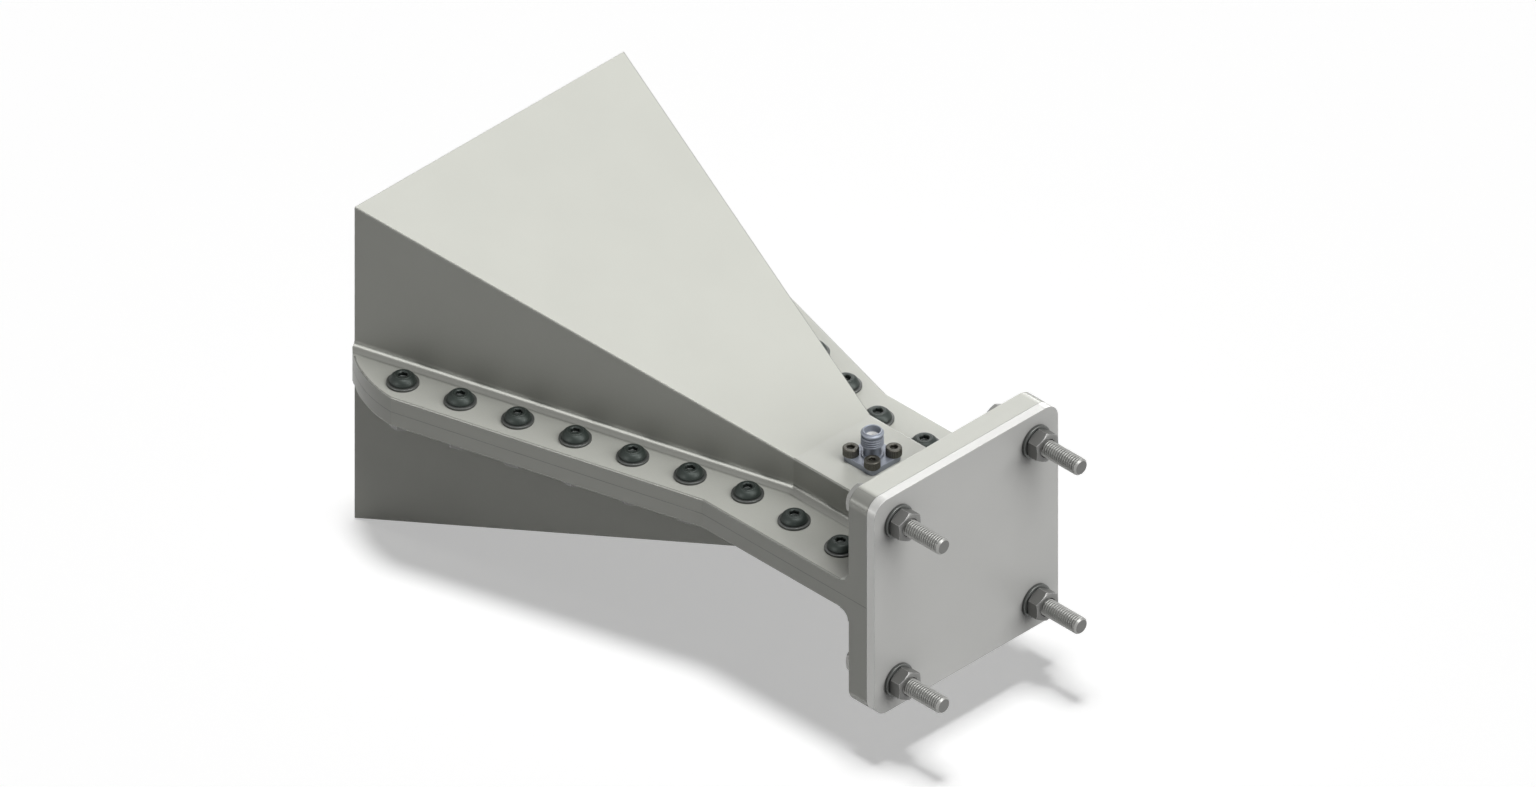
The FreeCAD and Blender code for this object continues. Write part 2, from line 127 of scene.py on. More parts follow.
class NodeSheet:
    """A node tree, written from its inputs to its output."""

    def __init__(self, tree: bpy.types.NodeTree, output: str) -> None:
        """Empties the tree and starts it with its output.

        Args:
            tree: The tree.
            output: The kind of its output node.
        """
        self.tree = tree
        self.tree.nodes.clear()
        self.output = self.tree.nodes.new(output)

    def join(self, source: Socket, target: Socket) -> None:
        """Links two sockets."""
        self.tree.links.new(source, target)

    def ranged(self, value: Socket, source: tuple[float, float], target: tuple[float, float]) -> Socket:
        """Maps one range of values to another.

        Args:
            value: The value.
            source: Its ends.
            target: What the ends become.

        Returns:
            The new value's socket.
        """
        spread = self.tree.nodes.new("ShaderNodeMapRange")
        spread.inputs["From Min"].default_value = source[0]
        spread.inputs["From Max"].default_value = source[1]
        spread.inputs["To Min"].default_value = target[0]
        spread.inputs["To Max"].default_value = target[1]
        self.join(value, spread.inputs["Value"])
        return spread.outputs["Result"]

    def split(self, vector: Socket) -> tuple[Socket, Socket, Socket]:
        """Gives a vector's X, Y and Z.

        Args:
            vector: The vector.

        Returns:
            The sockets of its X, Y and Z.
        """
        parts = self.tree.nodes.new("ShaderNodeSeparateXYZ")
        self.join(vector, parts.inputs["Vector"])
        return parts.outputs["X"], parts.outputs["Y"], parts.outputs["Z"]

    def worked_out(self, operation: str, first: Socket, second: Socket | float | None = None) -> Socket:
        """Works out a sum on one or two values.

        Args:
            operation: The name of the sum.
            first: The first value.
            second: The second value, as a socket or a number, if the sum takes one.

        Returns:
            The result's socket.
        """
        sum_node = self.tree.nodes.new("ShaderNodeMath")
        sum_node.operation = operation
        self.join(first, sum_node.inputs[0])
        if isinstance(second, float):
            sum_node.inputs[1].default_value = second
        elif second is not None:
            self.join(second, sum_node.inputs[1])
        return sum_node.outputs["Value"]

    def seen_directly(self) -> Socket:
        """Adds a value that is 1 for what the camera, a mirror or glass sees and 0 for scattered light.

        Returns:
            The value's socket.
        """
        path = self.tree.nodes.new("ShaderNodeLightPath").outputs
        total = path["Is Camera Ray"]
        for name in ("Is Glossy Ray", "Is Transmission Ray"):
            total = self.worked_out("MAXIMUM", total, path[name])
        return total


class ShaderSheet(NodeSheet):
    """A material's node tree."""

    def __init__(self, name: str) -> None:
        """Starts a material with a principled shader and an output.

        Args:
            name: The material's name.
        """
        self.material = bpy.data.materials.new(name)
        self.material.use_nodes = True
        super().__init__(self.material.node_tree, "ShaderNodeOutputMaterial")
        self.shader = self.tree.nodes.new("ShaderNodeBsdfPrincipled")
        self.join(self.shader.outputs["BSDF"], self.output.inputs["Surface"])
        self.place = self.tree.nodes.new("ShaderNodeTexCoord").outputs["Object"]

    def noise(self, scale: float, detail: float) -> Socket:
        """Adds a noise pattern.

        Args:
            scale: Patches per metre.
            detail: Octaves of finer noise.

        Returns:
            The pattern's value socket.
        """
        texture = self.tree.nodes.new("ShaderNodeTexNoise")
        texture.inputs["Scale"].default_value = scale
        texture.inputs["Detail"].default_value = detail
        self.join(self.place, texture.inputs["Vector"])
        return texture.outputs["Fac"]

    def mixed(self, share: Socket, first: Colour | Socket, second: Colour | Socket) -> Socket:
        """Mixes two colours.

        Args:
            share: Share of the second colour.
            first: The first colour, or a socket that gives it.
            second: The second colour, or a socket that gives it.

        Returns:
            The mixed colour's socket.
        """
        mix = self.tree.nodes.new("ShaderNodeMix")
        mix.data_type = "RGBA"
        self.join(share, mix.inputs["Factor"])
        for name, colour in (("A", first), ("B", second)):
            socket = next(s for s in mix.inputs if s.name == name and s.type == "RGBA")
            if isinstance(colour, tuple):
                socket.default_value = colour
            else:
                self.join(colour, socket)
        return next(s for s in mix.outputs if s.type == "RGBA")

    def along(self, normal: Socket, axis: tuple[float, float, float] | Socket) -> Socket:
        """Finds how far a direction points along another.

        Args:
            normal: The direction.
            axis: The other direction, or a socket that gives it.

        Returns:
            The product's socket.
        """
        product = self.tree.nodes.new("ShaderNodeVectorMath")
        product.operation = "DOT_PRODUCT"
        self.join(normal, product.inputs[0])
        if isinstance(axis, tuple):
            product.inputs[1].default_value = axis
        else:
            self.join(axis, product.inputs[1])
        return product.outputs["Value"]

    def face_normal(self) -> Socket:
        """Gives the surface's own normal."""
        return self.tree.nodes.new("ShaderNodeNewGeometry").outputs["Normal"]

    def darker(self, colour: Socket, share: float) -> Socket:
        """Darkens a colour.

        Args:
            colour: The colour.
            share: Share of its brightness that stays.

        Returns:
            The darker colour's socket.
        """
        shade = self.tree.nodes.new("ShaderNodeMix")
        shade.data_type = "RGBA"
        shade.blend_type = "MULTIPLY"
        shade.inputs["Factor"].default_value = 1.0
        first, second = (s for s in shade.inputs if s.type == "RGBA")
        self.join(colour, first)
        second.default_value = scaled(WHITE, share)
        return next(s for s in shade.outputs if s.type == "RGBA")

    def rounded(self, radius: float) -> Socket:
        """Adds the normal of edges that are broken by a small radius.

        Args:
            radius: Edge radius.

        Returns:
            The normal's socket.
        """
        bevel = self.tree.nodes.new("ShaderNodeBevel")
        bevel.samples = 6
        bevel.inputs["Radius"].default_value = radius
        return bevel.outputs["Normal"]

    def openness(self, reach: float, local: bool) -> Socket:
        """Finds how open the space in front of a point is.

        Args:
            reach: How far other surfaces count.
            local: Whether the piece's own surfaces count alone.

        Returns:
            A value from 0 in a closed corner to 1 in the open.
        """
        room = self.tree.nodes.new("ShaderNodeAmbientOcclusion")
        room.samples = 12
        room.only_local = local
        room.inputs["Distance"].default_value = reach
        return room.outputs["AO"]

    def raised(self, height: Socket, depth: float, strength: Socket | float, normal: Socket) -> Socket:
        """Adds a bump on top of a normal.

        Args:
            height: The pattern that gives the height.
            depth: Height of the pattern in metres.
            strength: Share of the bump that is kept, as a socket or a number.
            normal: The normal underneath.

        Returns:
            The new normal's socket.
        """
        bump = self.tree.nodes.new("ShaderNodeBump")
        if isinstance(strength, float):
            bump.inputs["Strength"].default_value = strength
        else:
            self.join(strength, bump.inputs["Strength"])
        bump.inputs["Distance"].default_value = depth
        self.join(height, bump.inputs["Height"])
        self.join(normal, bump.inputs["Normal"])
        return bump.outputs["Normal"]


@dataclass(frozen=True)
class MetalFinish:
    """A surface with a fine grain, slow patches of tone, broken edges lightened as wear and as a painted
    highlight, and painted shade in its closed corners.

    Attributes:
        name: The material's name.
        slot: The record's material slot; not used.
        colour: Its colour as seen, from 0 to 255.
        metallic: How far it reflects as bare metal.
        roughness: Mean roughness.
        patch: Share by which slow patches darken the colour.
        patches_per_metre: Size of the patches.
        grain_per_metre: Size of the grain.
        grain_depth: Height of the grain.
        grain_strength: Share of that height that shows.
        grain_gloss: Share by which the grain changes the roughness.
        edge_radius: Radius of broken edges.
        edge_wear_and_highlight: Share of white painted on the edges, partly as wear and partly as a painted
            highlight.
        edge_turn: How far the normal points along the face, where an edge starts and where it is full.
        painted_corner_shade: Share of painted shade, black mixed into the colour, in closed corners.
        painted_shade_reach: How far a neighbouring surface counts for the painted corner shade.
        painted_shade_span: How open the space is where the painted corner shade is full, and where it ends.
        gloss: Strength of the sheen over a colour that isn't bare metal.
        painted_shade_own_surfaces: Whether only the piece's own surfaces count for the painted corner shade.
        joints: Planes where another piece begins, each by its axis and its place along it.
        joint_width: Half the width of the dark line along a joint.
        joint_tone: Share of the colour's brightness on the line.
    """

    name: str
    slot: str
    colour: tuple[float, float, float]
    metallic: float
    roughness: float
    patch: float = 0.05
    patches_per_metre: float = 45.0
    grain_per_metre: float = 2600.0
    grain_depth: float = 0.004 * MM
    grain_strength: float = 0.6
    grain_gloss: float = 0.15
    edge_radius: float = 0.10 * MM
    edge_wear_and_highlight: float = 0.25
    edge_turn: tuple[float, float] = (0.99, 0.80)
    painted_corner_shade: float = 0.25
    painted_shade_reach: float = 3.0 * MM
    painted_shade_span: tuple[float, float] = (0.42, 0.97)
    gloss: float = 0.5
    painted_shade_own_surfaces: bool = False
    joints: tuple[tuple[int, float], ...] = ()
    joint_width: float = 0.16 * MM
    joint_tone: float = 0.55

    def made(self) -> bpy.types.Material:
        """Builds the material.

        Returns:
            The material.
        """
        sheet = ShaderSheet(self.name)
        tone = as_seen(*self.colour)
        slow = sheet.ranged(sheet.noise(self.patches_per_metre, 4.0), NOISE_SPAN, (0.0, 1.0))
        fine = sheet.noise(self.grain_per_metre, 3.0)
        metal = sheet.mixed(slow, tone, scaled(tone, 1 - self.patch))
        # Painted shade on the faces that look one way, for the finishes that have it.
        metal = self.painted_shade_by_facing(sheet, metal)
        for axis, place in self.joints:
            line = self.joint(sheet, axis, place)
            metal = sheet.mixed(line, metal, sheet.darker(metal, self.joint_tone))
        # Painted shade: black mixed into the colour where the space in front of the surface is closed.
        metal = sheet.mixed(self.painted_corner_darkening(sheet), metal, BLACK)
        # White painted on the broken edges, partly as wear and partly as a painted highlight.
        edges = self.edged(sheet)
        turned = sheet.along(edges, sheet.face_normal())
        worn_and_highlit_edges = sheet.ranged(turned, self.edge_turn, (0.0, self.edge_wear_and_highlight))
        metal = sheet.mixed(worn_and_highlit_edges, metal, WHITE)
        sheet.join(metal, sheet.shader.inputs["Base Color"])
        ends = (self.roughness * (1 - self.grain_gloss), self.roughness * (1 + self.grain_gloss))
        rough = sheet.ranged(fine, NOISE_SPAN, ends)
        sheet.join(self.polished(sheet, rough), sheet.shader.inputs["Roughness"])
        bare = self.bared(sheet)
        if bare is None:
            sheet.shader.inputs["Metallic"].default_value = self.metallic
        else:
            sheet.join(bare, sheet.shader.inputs["Metallic"])
        sheet.shader.inputs["Specular IOR Level"].default_value = self.gloss
        grained = sheet.raised(fine, self.grain_depth, self.grained(sheet), edges)
        sheet.join(grained, sheet.shader.inputs["Normal"])
        return sheet.material

    def edged(self, sheet: ShaderSheet) -> Socket:
        """Gives the surface's normal with its edges broken."""
        return sheet.rounded(self.edge_radius)

    def joint(self, sheet: ShaderSheet, axis: int, place: float) -> Socket:
        """Finds the line along a joint.

        Args:
            sheet: The sheet.
            axis: Number of the axis across the joint.
            place: Place of the joint along that axis.

        Returns:
            A value that is 1 on the line.
        """
        offset = sheet.worked_out("SUBTRACT", sheet.split(sheet.place)[axis], place)
        away = sheet.worked_out("ABSOLUTE", offset)
        return sheet.ranged(away, (self.joint_width, 0.5 * self.joint_width), (0.0, 1.0))

    def painted_corner_darkening(self, sheet: ShaderSheet) -> Socket:
        """Gives the share of painted shade, black mixed into the colour, in closed corners."""
        room = sheet.openness(self.painted_shade_reach, self.painted_shade_own_surfaces)
        return sheet.ranged(room, self.painted_shade_span, (self.painted_corner_shade, 0.0))

    def painted_shade_by_facing(self, _sheet: ShaderSheet, metal: Socket) -> Socket:
        """Leaves the colour as it is. A finish with painted shade on some faces changes it here."""
        return metal

    def polished(self, _sheet: ShaderSheet, rough: Socket) -> Socket:
        """Leaves the roughness as it is. A finish with polished places changes it here."""
        return rough

    def bared(self, _sheet: ShaderSheet) -> Socket | None:
        """Gives nothing, for one metallic value all over. A finish with barer places changes it."""
        return None

    def grained(self, _sheet: ShaderSheet) -> Socket | float:
        """Gives one strength of grain all over. A finish with smoother places changes it."""
        return self.grain_strength


@dataclass(frozen=True)
class PaintedFaceShadeFinish(MetalFinish):
    """A piece with one flat face that gets painted shade, darker than its edges.

    Attributes:
        face_axis: The way the face looks.
        painted_face_shade: Share of the colour's brightness that stays on the face under its painted shade.
        face_metallic: How far the face reflects as bare metal.
        face_span: How far a normal points that way, where the face starts and where it is full.
    """

    face_axis: tuple[float, float, float] = (-1.0, 0.0, 0.0)
    painted_face_shade: float = 1.0
    face_metallic: float = 0.0
    face_span: tuple[float, float] = (0.90, 0.99)

    def face(self, sheet: ShaderSheet) -> Socket:
        """Finds the face."""
        facing = sheet.along(sheet.face_normal(), self.face_axis)
        return sheet.ranged(facing, self.face_span, (0.0, 1.0))

    def painted_shade_by_facing(self, sheet: ShaderSheet, metal: Socket) -> Socket:
        """Paints shade on the face."""
        return sheet.mixed(self.face(sheet), metal, sheet.darker(metal, self.painted_face_shade))

    def bared(self, sheet: ShaderSheet) -> Socket | None:
        """Gives the face its own metallic value."""
        return sheet.ranged(self.face(sheet), (0.0, 1.0), (self.metallic, self.face_metallic))


@dataclass(frozen=True)
class SplitBlockFinish(MetalFinish):
    """The milled blocks, whose roundings and fillets get painted shade and are shinier.

    Attributes:
        painted_rounding_shade: Share of the colour's brightness that stays on roundings and fillets under
            their painted shade.
        rounding_roughness: Share of the roughness there.
        rounding_metallic: How far they reflect as bare metal.
        rounding_corner_shade_share: Share of the painted corner shade there.
        rounding_grain: Share of the grain there.
        rounding_span: Product of the sideways and upward turn, where a rounding starts and where it is full.
    """

    painted_rounding_shade: float = 0.50
    rounding_roughness: float = 0.70
    rounding_metallic: float = 0.35
    rounding_corner_shade_share: float = 0.35
    rounding_grain: float = 0.1
    rounding_span: tuple[float, float] = (0.10, 0.28)

    def rounding(self, sheet: ShaderSheet) -> Socket:
        """Finds the roundings that run along the horn, which face partly sideways and partly up or down.

        Args:
            sheet: The sheet.

        Returns:
            A value that is 1 on the roundings.
        """
        _, sideways, upwards = sheet.split(sheet.face_normal())
        turn = sheet.worked_out("ABSOLUTE", sheet.worked_out("MULTIPLY", sideways, upwards))
        return sheet.ranged(turn, self.rounding_span, (0.0, 1.0))

    def edged(self, sheet: ShaderSheet) -> Socket:
        """Breaks the sharp edges alone, because the roundings are round already."""
        return sheet.mixed(self.rounding(sheet), super().edged(sheet), sheet.face_normal())

    def painted_corner_darkening(self, sheet: ShaderSheet) -> Socket:
        """Paints less corner shade on the fillets than on the faces, so that their highlight stays."""
        share = sheet.ranged(self.rounding(sheet), (0.0, 1.0), (1.0, self.rounding_corner_shade_share))
        return sheet.worked_out("MULTIPLY", super().painted_corner_darkening(sheet), share)

    def painted_shade_by_facing(self, sheet: ShaderSheet, metal: Socket) -> Socket:
        """Paints shade on the roundings."""
        return sheet.mixed(self.rounding(sheet), metal, sheet.darker(metal, self.painted_rounding_shade))

    def polished(self, sheet: ShaderSheet, rough: Socket) -> Socket:
        """Makes the roundings smoother than the faces, and the same all along."""
        smooth = self.roughness * self.rounding_roughness
        return sheet.mixed(self.rounding(sheet), rough, (smooth, smooth, smooth, 1.0))

    def grained(self, sheet: ShaderSheet) -> Socket | float:
        """Leaves little grain on the roundings."""
        ends = (self.grain_strength, self.rounding_grain * self.grain_strength)
        return sheet.ranged(self.rounding(sheet), (0.0, 1.0), ends)

    def bared(self, sheet: ShaderSheet) -> Socket | None:
        """Bares the metal on the roundings."""
        return sheet.ranged(self.rounding(sheet), (0.0, 1.0), (self.metallic, self.rounding_metallic))


class Finish(Enum):
    """The finishes of the horn and its fittings."""

    # Painted shade in the corners and on the roundings, and white painted on the edges as wear and as a
    # painted highlight.
    HORN = SplitBlockFinish(
        "satin_aluminium",
        "horn_aluminium",
        (214, 215, 207),
        0.0,
        0.38,
        patch=0.03,
        edge_radius=0.25 * MM,
        edge_wear_and_highlight=0.15,
        painted_corner_shade=0.52,
        painted_shade_reach=38.0 * MM,
        gloss=0.35,
        painted_shade_own_surfaces=True,
        joints=((2, 0.0), (0, -178.7 * MM)),
    )
    # Painted shade on the rear face and in the corners.
    PLATE = PaintedFaceShadeFinish(
        "milled_plate",
        "plate_aluminium",
        (230, 230, 227),
        0.31,
        0.36,
        patches_per_metre=28.0,
        edge_radius=0.25 * MM,
        painted_corner_shade=0.35,
        painted_shade_reach=14.0 * MM,
        gloss=0.35,
        joints=((0, -178.7 * MM),),
        painted_face_shade=0.59,
    )
    BLACK_OXIDE = MetalFinish("black_oxide", "black_steel", (50, 58, 54), 0.35, 0.44, patch=0.20)
    BROWN_OXIDE = MetalFinish("brown_oxide", "black_steel", (86, 84, 76), 0.50, 0.34, patch=0.15)
    # Washers and nuts have their edges painted nearly white, partly as wear and partly as a painted
    # highlight.
    WASHER = MetalFinish(
        "zinc_washer", "zinc_steel", (100, 102, 100), 0.50, 0.34, edge_radius=0.16 * MM, edge_wear_and_highlight=0.9
    )
    NUT = MetalFinish(
        "dark_nut", "nut_steel", (122, 122, 120), 0.50, 0.34, edge_radius=0.16 * MM, edge_wear_and_highlight=0.8
    )
    # Painted shade on the tip's end face, which looks to the rear, and a little in the thread's corners.
    BOLT = PaintedFaceShadeFinish(
        "bolt_steel",
        "bolt_steel",
        (168, 168, 165),
        0.55,
        0.34,
        patch=0.12,
        painted_corner_shade=0.10,
        painted_face_shade=0.42,
        face_metallic=0.45,
    )
    JACK = MetalFinish("jack_steel", "jack_steel", (158, 164, 176), 0.30, 0.40)
    SLEEVE = MetalFinish(
        "white_sleeve",
        "white_plastic",
        (245, 245, 243),
        0.0,
        0.42,
        patch=0.02,
        edge_wear_and_highlight=0.0,
        painted_corner_shade=0.10,
    )
    CONTACT = MetalFinish("gold_contact", "gold_brass", (224, 186, 100), 0.85, 0.25)


@dataclass
class FinishShelf:
    """Builds each finish once, and gives it to pieces with their place in the frame."""

    made: dict[Finish, bpy.types.Material] = field(default_factory=dict)

    def take(self, finish: Finish) -> bpy.types.Material:
        """Gives the material of a finish, built at its first use.

        Args:
            finish: The finish.

        Returns:
            Its material.
        """
        if finish not in self.made:
            self.made[finish] = finish.value.made()
        return self.made[finish]

    def coat(self, thing: bpy.types.Object, finish: Finish) -> None:
        """Gives a whole object one finish.

        Args:
            thing: The object.
            finish: Its finish.
        """
        material = self.take(finish)
        if not thing.material_slots:
            thing.data.materials.append(material)
        for holder in thing.material_slots:
            holder.material = material

    def fit(self, piece: bpy.types.Object, name: str, node: str, finish: Finish) -> None:
        """Names and coats a new piece that stands for a CAD node.

        Args:
            piece: The piece.
            name: Its name.
            node: The CAD node that it stands for.
            finish: Its finish.
        """
        piece.name = name
        piece.data.name = name
        self.coat(piece, finish)
        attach(piece, "root")
        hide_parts(node)
        LOG.info("%s: %d faces, %s", name, len(piece.data.polygons), finish.value.name)


class Cut(Enum):
    """What one solid does to another."""

    JOIN = "UNION"
    REMOVE = "DIFFERENCE"
    TRIM = "INTERSECT"


class Bench:
    """Hand work on meshes."""

    @staticmethod
    def only(piece: bpy.types.Object) -> None:
        """Selects one object alone.

        Args:
            piece: The object.
        """
        bpy.ops.object.select_all(action="DESELECT")
        piece.select_set(True)
        bpy.context.view_layer.objects.active = piece

    @staticmethod
    def clear() -> None:
        """Leaves nothing selected, ready for a new primitive."""
        bpy.ops.object.select_all(action="DESELECT")

    @staticmethod
    def settled() -> bpy.types.Object:
        """Puts the new primitive's place into its mesh and gives the object."""
        bpy.ops.object.transform_apply(location=True, rotation=True, scale=True)
        return bpy.context.object

    @staticmethod
    def block(size: tuple[float, float, float], height: float) -> bpy.types.Object:
        """Mills a block that stands on the Z axis.

        Args:
            size: Its lengths along X, Y and Z.
            height: Height of its middle.

        Returns:
            The block.
        """
        Bench.clear()
        bpy.ops.mesh.primitive_cube_add(size=1, location=(0, 0, height))
        bpy.context.object.scale = size
        return Bench.settled()

    @staticmethod
    def section(width: float, height: float, middle: tuple[float, float, float]) -> bpy.types.Object:
        """Draws a rectangle that stands across Y, to be wound round Z.

        Args:
            width: Its width along X.
            height: Its height along Z.
            middle: Its middle.

        Returns:
            The rectangle.
        """
        Bench.clear()
        bpy.ops.mesh.primitive_plane_add(size=1, location=middle, rotation=(math.pi / 2, 0, 0))
        bpy.context.object.scale = (width, height, 1)
        return Bench.settled()

    @staticmethod
    def open(piece: bpy.types.Object, mode: str = "EDGE") -> None:
        """Opens an object in edit mode with all of it selected.

        Args:
            piece: The object.
            mode: What is picked: VERT, EDGE or FACE.
        """
        Bench.only(piece)
        bpy.ops.object.mode_set(mode="EDIT")
        bpy.ops.mesh.select_mode(type=mode)
        bpy.ops.mesh.select_all(action="SELECT")

    @staticmethod
    def close() -> None:
        """Goes back to object mode."""
        bpy.ops.object.mode_set(mode="OBJECT")

    @staticmethod
    def pick(piece: bpy.types.Object, mode: str, test: Callable[[Vector], bool]) -> None:
        """Picks, in edit mode, the elements whose every corner passes a test.

        Args:
            piece: The object being edited.
            mode: What is picked: VERT, EDGE or FACE.
            test: Says of a corner's place whether it belongs.
        """
        bpy.ops.mesh.select_mode(type=mode)
        bpy.ops.mesh.select_all(action="DESELECT")
        mesh = bmesh.from_edit_mesh(piece.data)
        if mode == "VERT":
            for corner in mesh.verts:
                corner.select_set(test(corner.co))
        else:
            for element in mesh.edges if mode == "EDGE" else mesh.faces:
                element.select_set(all(test(corner.co) for corner in element.verts))
        mesh.select_flush_mode()
        bmesh.update_edit_mesh(piece.data)

    @staticmethod
    def work(piece: bpy.types.Object, tool: bpy.types.Object, how: Cut) -> None:
        """Joins, cuts or trims a piece with a second solid, which is used up.

        Args:
            piece: The piece.
            tool: The second solid.
            how: What it does.
        """
        Bench.only(piece)
        modifier = piece.modifiers.new("work", "BOOLEAN")
        modifier.operation = how.value
        modifier.solver = "EXACT"
        modifier.object = tool
        bpy.ops.object.modifier_apply(modifier=modifier.name)
        bpy.data.objects.remove(tool)

    @staticmethod
    def break_edges(piece: bpy.types.Object, width: float, angle: float = 40.0) -> None:
        """Rounds a piece's sharp edges.

        Args:
            piece: The piece.
            width: Width of the rounding.
            angle: Edges that turn more than this many degrees are sharp.
        """
        Bench.only(piece)
        modifier = piece.modifiers.new("edges", "BEVEL")
        modifier.width = width
        modifier.segments = 3
        modifier.limit_method = "ANGLE"
        modifier.angle_limit = math.radians(angle)
        bpy.ops.object.modifier_apply(modifier=modifier.name)

    @staticmethod
    def smooth(piece: bpy.types.Object, angle: float = 32.0) -> None:
        """Shades a piece smooth where it turns less than an angle in degrees."""
        Bench.only(piece)
        bpy.ops.object.shade_smooth_by_angle(angle=math.radians(angle))

    @staticmethod
    def copied(pattern: bpy.types.Object, spot: Matrix) -> bpy.types.Object:
        """Copies a pattern, with its own mesh, to a spot.

        Args:
            pattern: The piece, standing at the origin.
            spot: Where the copy goes.

        Returns:
            The copy.
        """
        copy = pattern.copy()
        copy.data = pattern.data.copy()
        copy.data.transform(spot)
        bpy.context.scene.collection.objects.link(copy)
        return copy

    @staticmethod
    def repeated(pattern: bpy.types.Object, spots: Iterable[Matrix]) -> bpy.types.Object:
        """Copies a pattern to each spot and joins the copies. The pattern is used up.

        Args:
            pattern: The piece, standing at the origin.
            spots: Where the copies go.

        Returns:
            One object that holds all copies.
        """
        copies = [Bench.copied(pattern, spot) for spot in spots]
        bpy.data.objects.remove(pattern)
        Bench.only(copies[0])
        for copy in copies:
            copy.select_set(True)
        if len(copies) > 1:
            bpy.ops.object.join()
        return copies[0]


@dataclass
class Turning:
    """A piece turned about Z, a ring for each station of its outline.

    Attributes:
        outline: Radius and height of each station, in order along the outline.
        segments: Corners of each ring.
        bored: Whether the outline closes on itself round a hole, or else its ends are filled.
    """

    outline: list[tuple[float, float]]
    segments: int = 64
    bored: bool = False

    def build(self) -> bpy.types.Object:
        """Turns the piece.

        Returns:
            The piece as one closed object.
        """
        radius, height = self.outline[0]
        Bench.clear()
        bpy.ops.mesh.primitive_circle_add(
            vertices=self.segments, radius=radius, fill_type="NOTHING", location=(0, 0, height)
        )
        piece = Bench.settled()
        Bench.open(piece)
        for next_radius, next_height in self.outline[1:]:
            rise = (0, 0, next_height - height)
            bpy.ops.mesh.extrude_edges_move(TRANSFORM_OT_translate={"value": rise})
            grow = next_radius / radius
            bpy.ops.transform.resize(value=(grow, grow, 1), center_override=(0, 0, 0))
            radius, height = next_radius, next_height
        if self.bored:
            bpy.ops.mesh.select_all(action="DESELECT")
            bpy.ops.mesh.select_non_manifold()
            bpy.ops.mesh.bridge_edge_loops()
        else:
            bpy.ops.mesh.select_all(action="SELECT")
            bpy.ops.mesh.fill_holes(sides=0)
        bpy.ops.mesh.select_all(action="SELECT")
        bpy.ops.mesh.normals_make_consistent(inside=False)
        Bench.close()
        return piece


@dataclass
class HexagonBar:
    """A length of hexagon bar along Z with a corner towards +X.

    Attributes:
        across_flats: Its size.
        low: Height of its lower end.
        high: Height of its upper end.
    """

    across_flats: float
    low: float
    high: float

    def build(self) -> bpy.types.Object:
        """Cuts the bar to length.

        Returns:
            The bar.
        """
        Bench.clear()
        bpy.ops.mesh.primitive_cylinder_add(
            vertices=6,
            radius=self.across_flats / math.sqrt(3),
            depth=self.high - self.low,
            location=(0, 0, (self.high + self.low) / 2),
            rotation=(0, 0, math.radians(30)),
        )
        return Bench.settled()


@dataclass
class HexagonBlank:
    """A hexagon with its corners chamfered at the top, and at the bottom too for a nut.

    Attributes:
        across_flats: Its size.
        height: Its height above z = 0.
        both_ends: Whether the lower corners are chamfered as well.
        face_share: Width of the flat end face against the width across flats.
        chamfer_angle: Angle of the chamfer in degrees.
        spare: Length of bar past each end that is turned.
        across: How far the turning reaches past the corners.
        facets: Corners of the turned chamfers.
    """

    across_flats: float
    height: float
    both_ends: bool
    face_share: float = 0.95
    chamfer_angle: float = 30.0
    spare: float = 0.5 * MM
    across: float = 0.3 * MM
    facets: int = 96

    def build(self) -> bpy.types.Object:
        """Mills the hexagon and turns its chamfers.

        Returns:
            The blank.
        """
        spare = self.spare
        bar = HexagonBar(self.across_flats, -spare if self.both_ends else 0.0, self.height + spare).build()
        face = self.face_share * self.across_flats / 2
        wide = self.across_flats / math.sqrt(3) + self.across
        drop = (wide - face) * math.tan(math.radians(self.chamfer_angle))
        foot = [(face, 0.0), (wide, drop)] if self.both_ends else [(wide, -spare)]
        top = [(wide, self.height - drop), (face, self.height)]
        blank = Turning(foot + top, segments=self.facets).build()
        blank.data.transform(Matrix.Rotation(math.pi / self.facets, 4, "Z"))
        Bench.work(bar, blank, Cut.TRIM)
        return bar


@dataclass(frozen=True)
class HexagonNut:
    """A hexagon nut that stands on z = 0.

    Attributes:
        across_flats: Its size.
        height: Its height.
        bore_radius: Radius of its hole.
        countersink: Width of the cone at each end of the hole.
        beyond: How far the cones are turned past the end faces.
    """

    across_flats: float
    height: float
    bore_radius: float
    countersink: float
    beyond: float = 0.5 * MM

    def build(self) -> bpy.types.Object:
        """Makes the nut.

        Returns:
            The nut.
        """
        nut = HexagonBlank(self.across_flats, self.height, True).build()
        bore, beyond = self.bore_radius, self.beyond
        wide = bore + self.countersink + beyond
        hole = [
            (wide, -beyond),
            (bore, self.countersink),
            (bore, self.height - self.countersink),
            (wide, self.height + beyond),
        ]
        Bench.work(nut, Turning(hole, segments=64).build(), Cut.REMOVE)
        Bench.smooth(nut)
        return nut


@dataclass(frozen=True)
class FlatWasher:
    """A punched ring that stands on z = 0, its upper edges rolled by the punch.

    Attributes:
        radius: Outer radius.
        bore_radius: Radius of its hole.
        thickness: Its thickness.
        edge: Width of the broken edges.
    """

    radius: float
    bore_radius: float
    thickness: float
    edge: float = 0.14 * MM

    def build(self) -> bpy.types.Object:
        """Makes the washer.

        Returns:
            The washer.
        """
        outline = [
            (self.bore_radius, 0.0),
            (self.radius, 0.0),
            (self.radius, self.thickness),
            (self.bore_radius, self.thickness),
        ]
        washer = Turning(outline, segments=72, bored=True).build()
        Bench.break_edges(washer, self.edge)
        Bench.smooth(washer)
        return washer


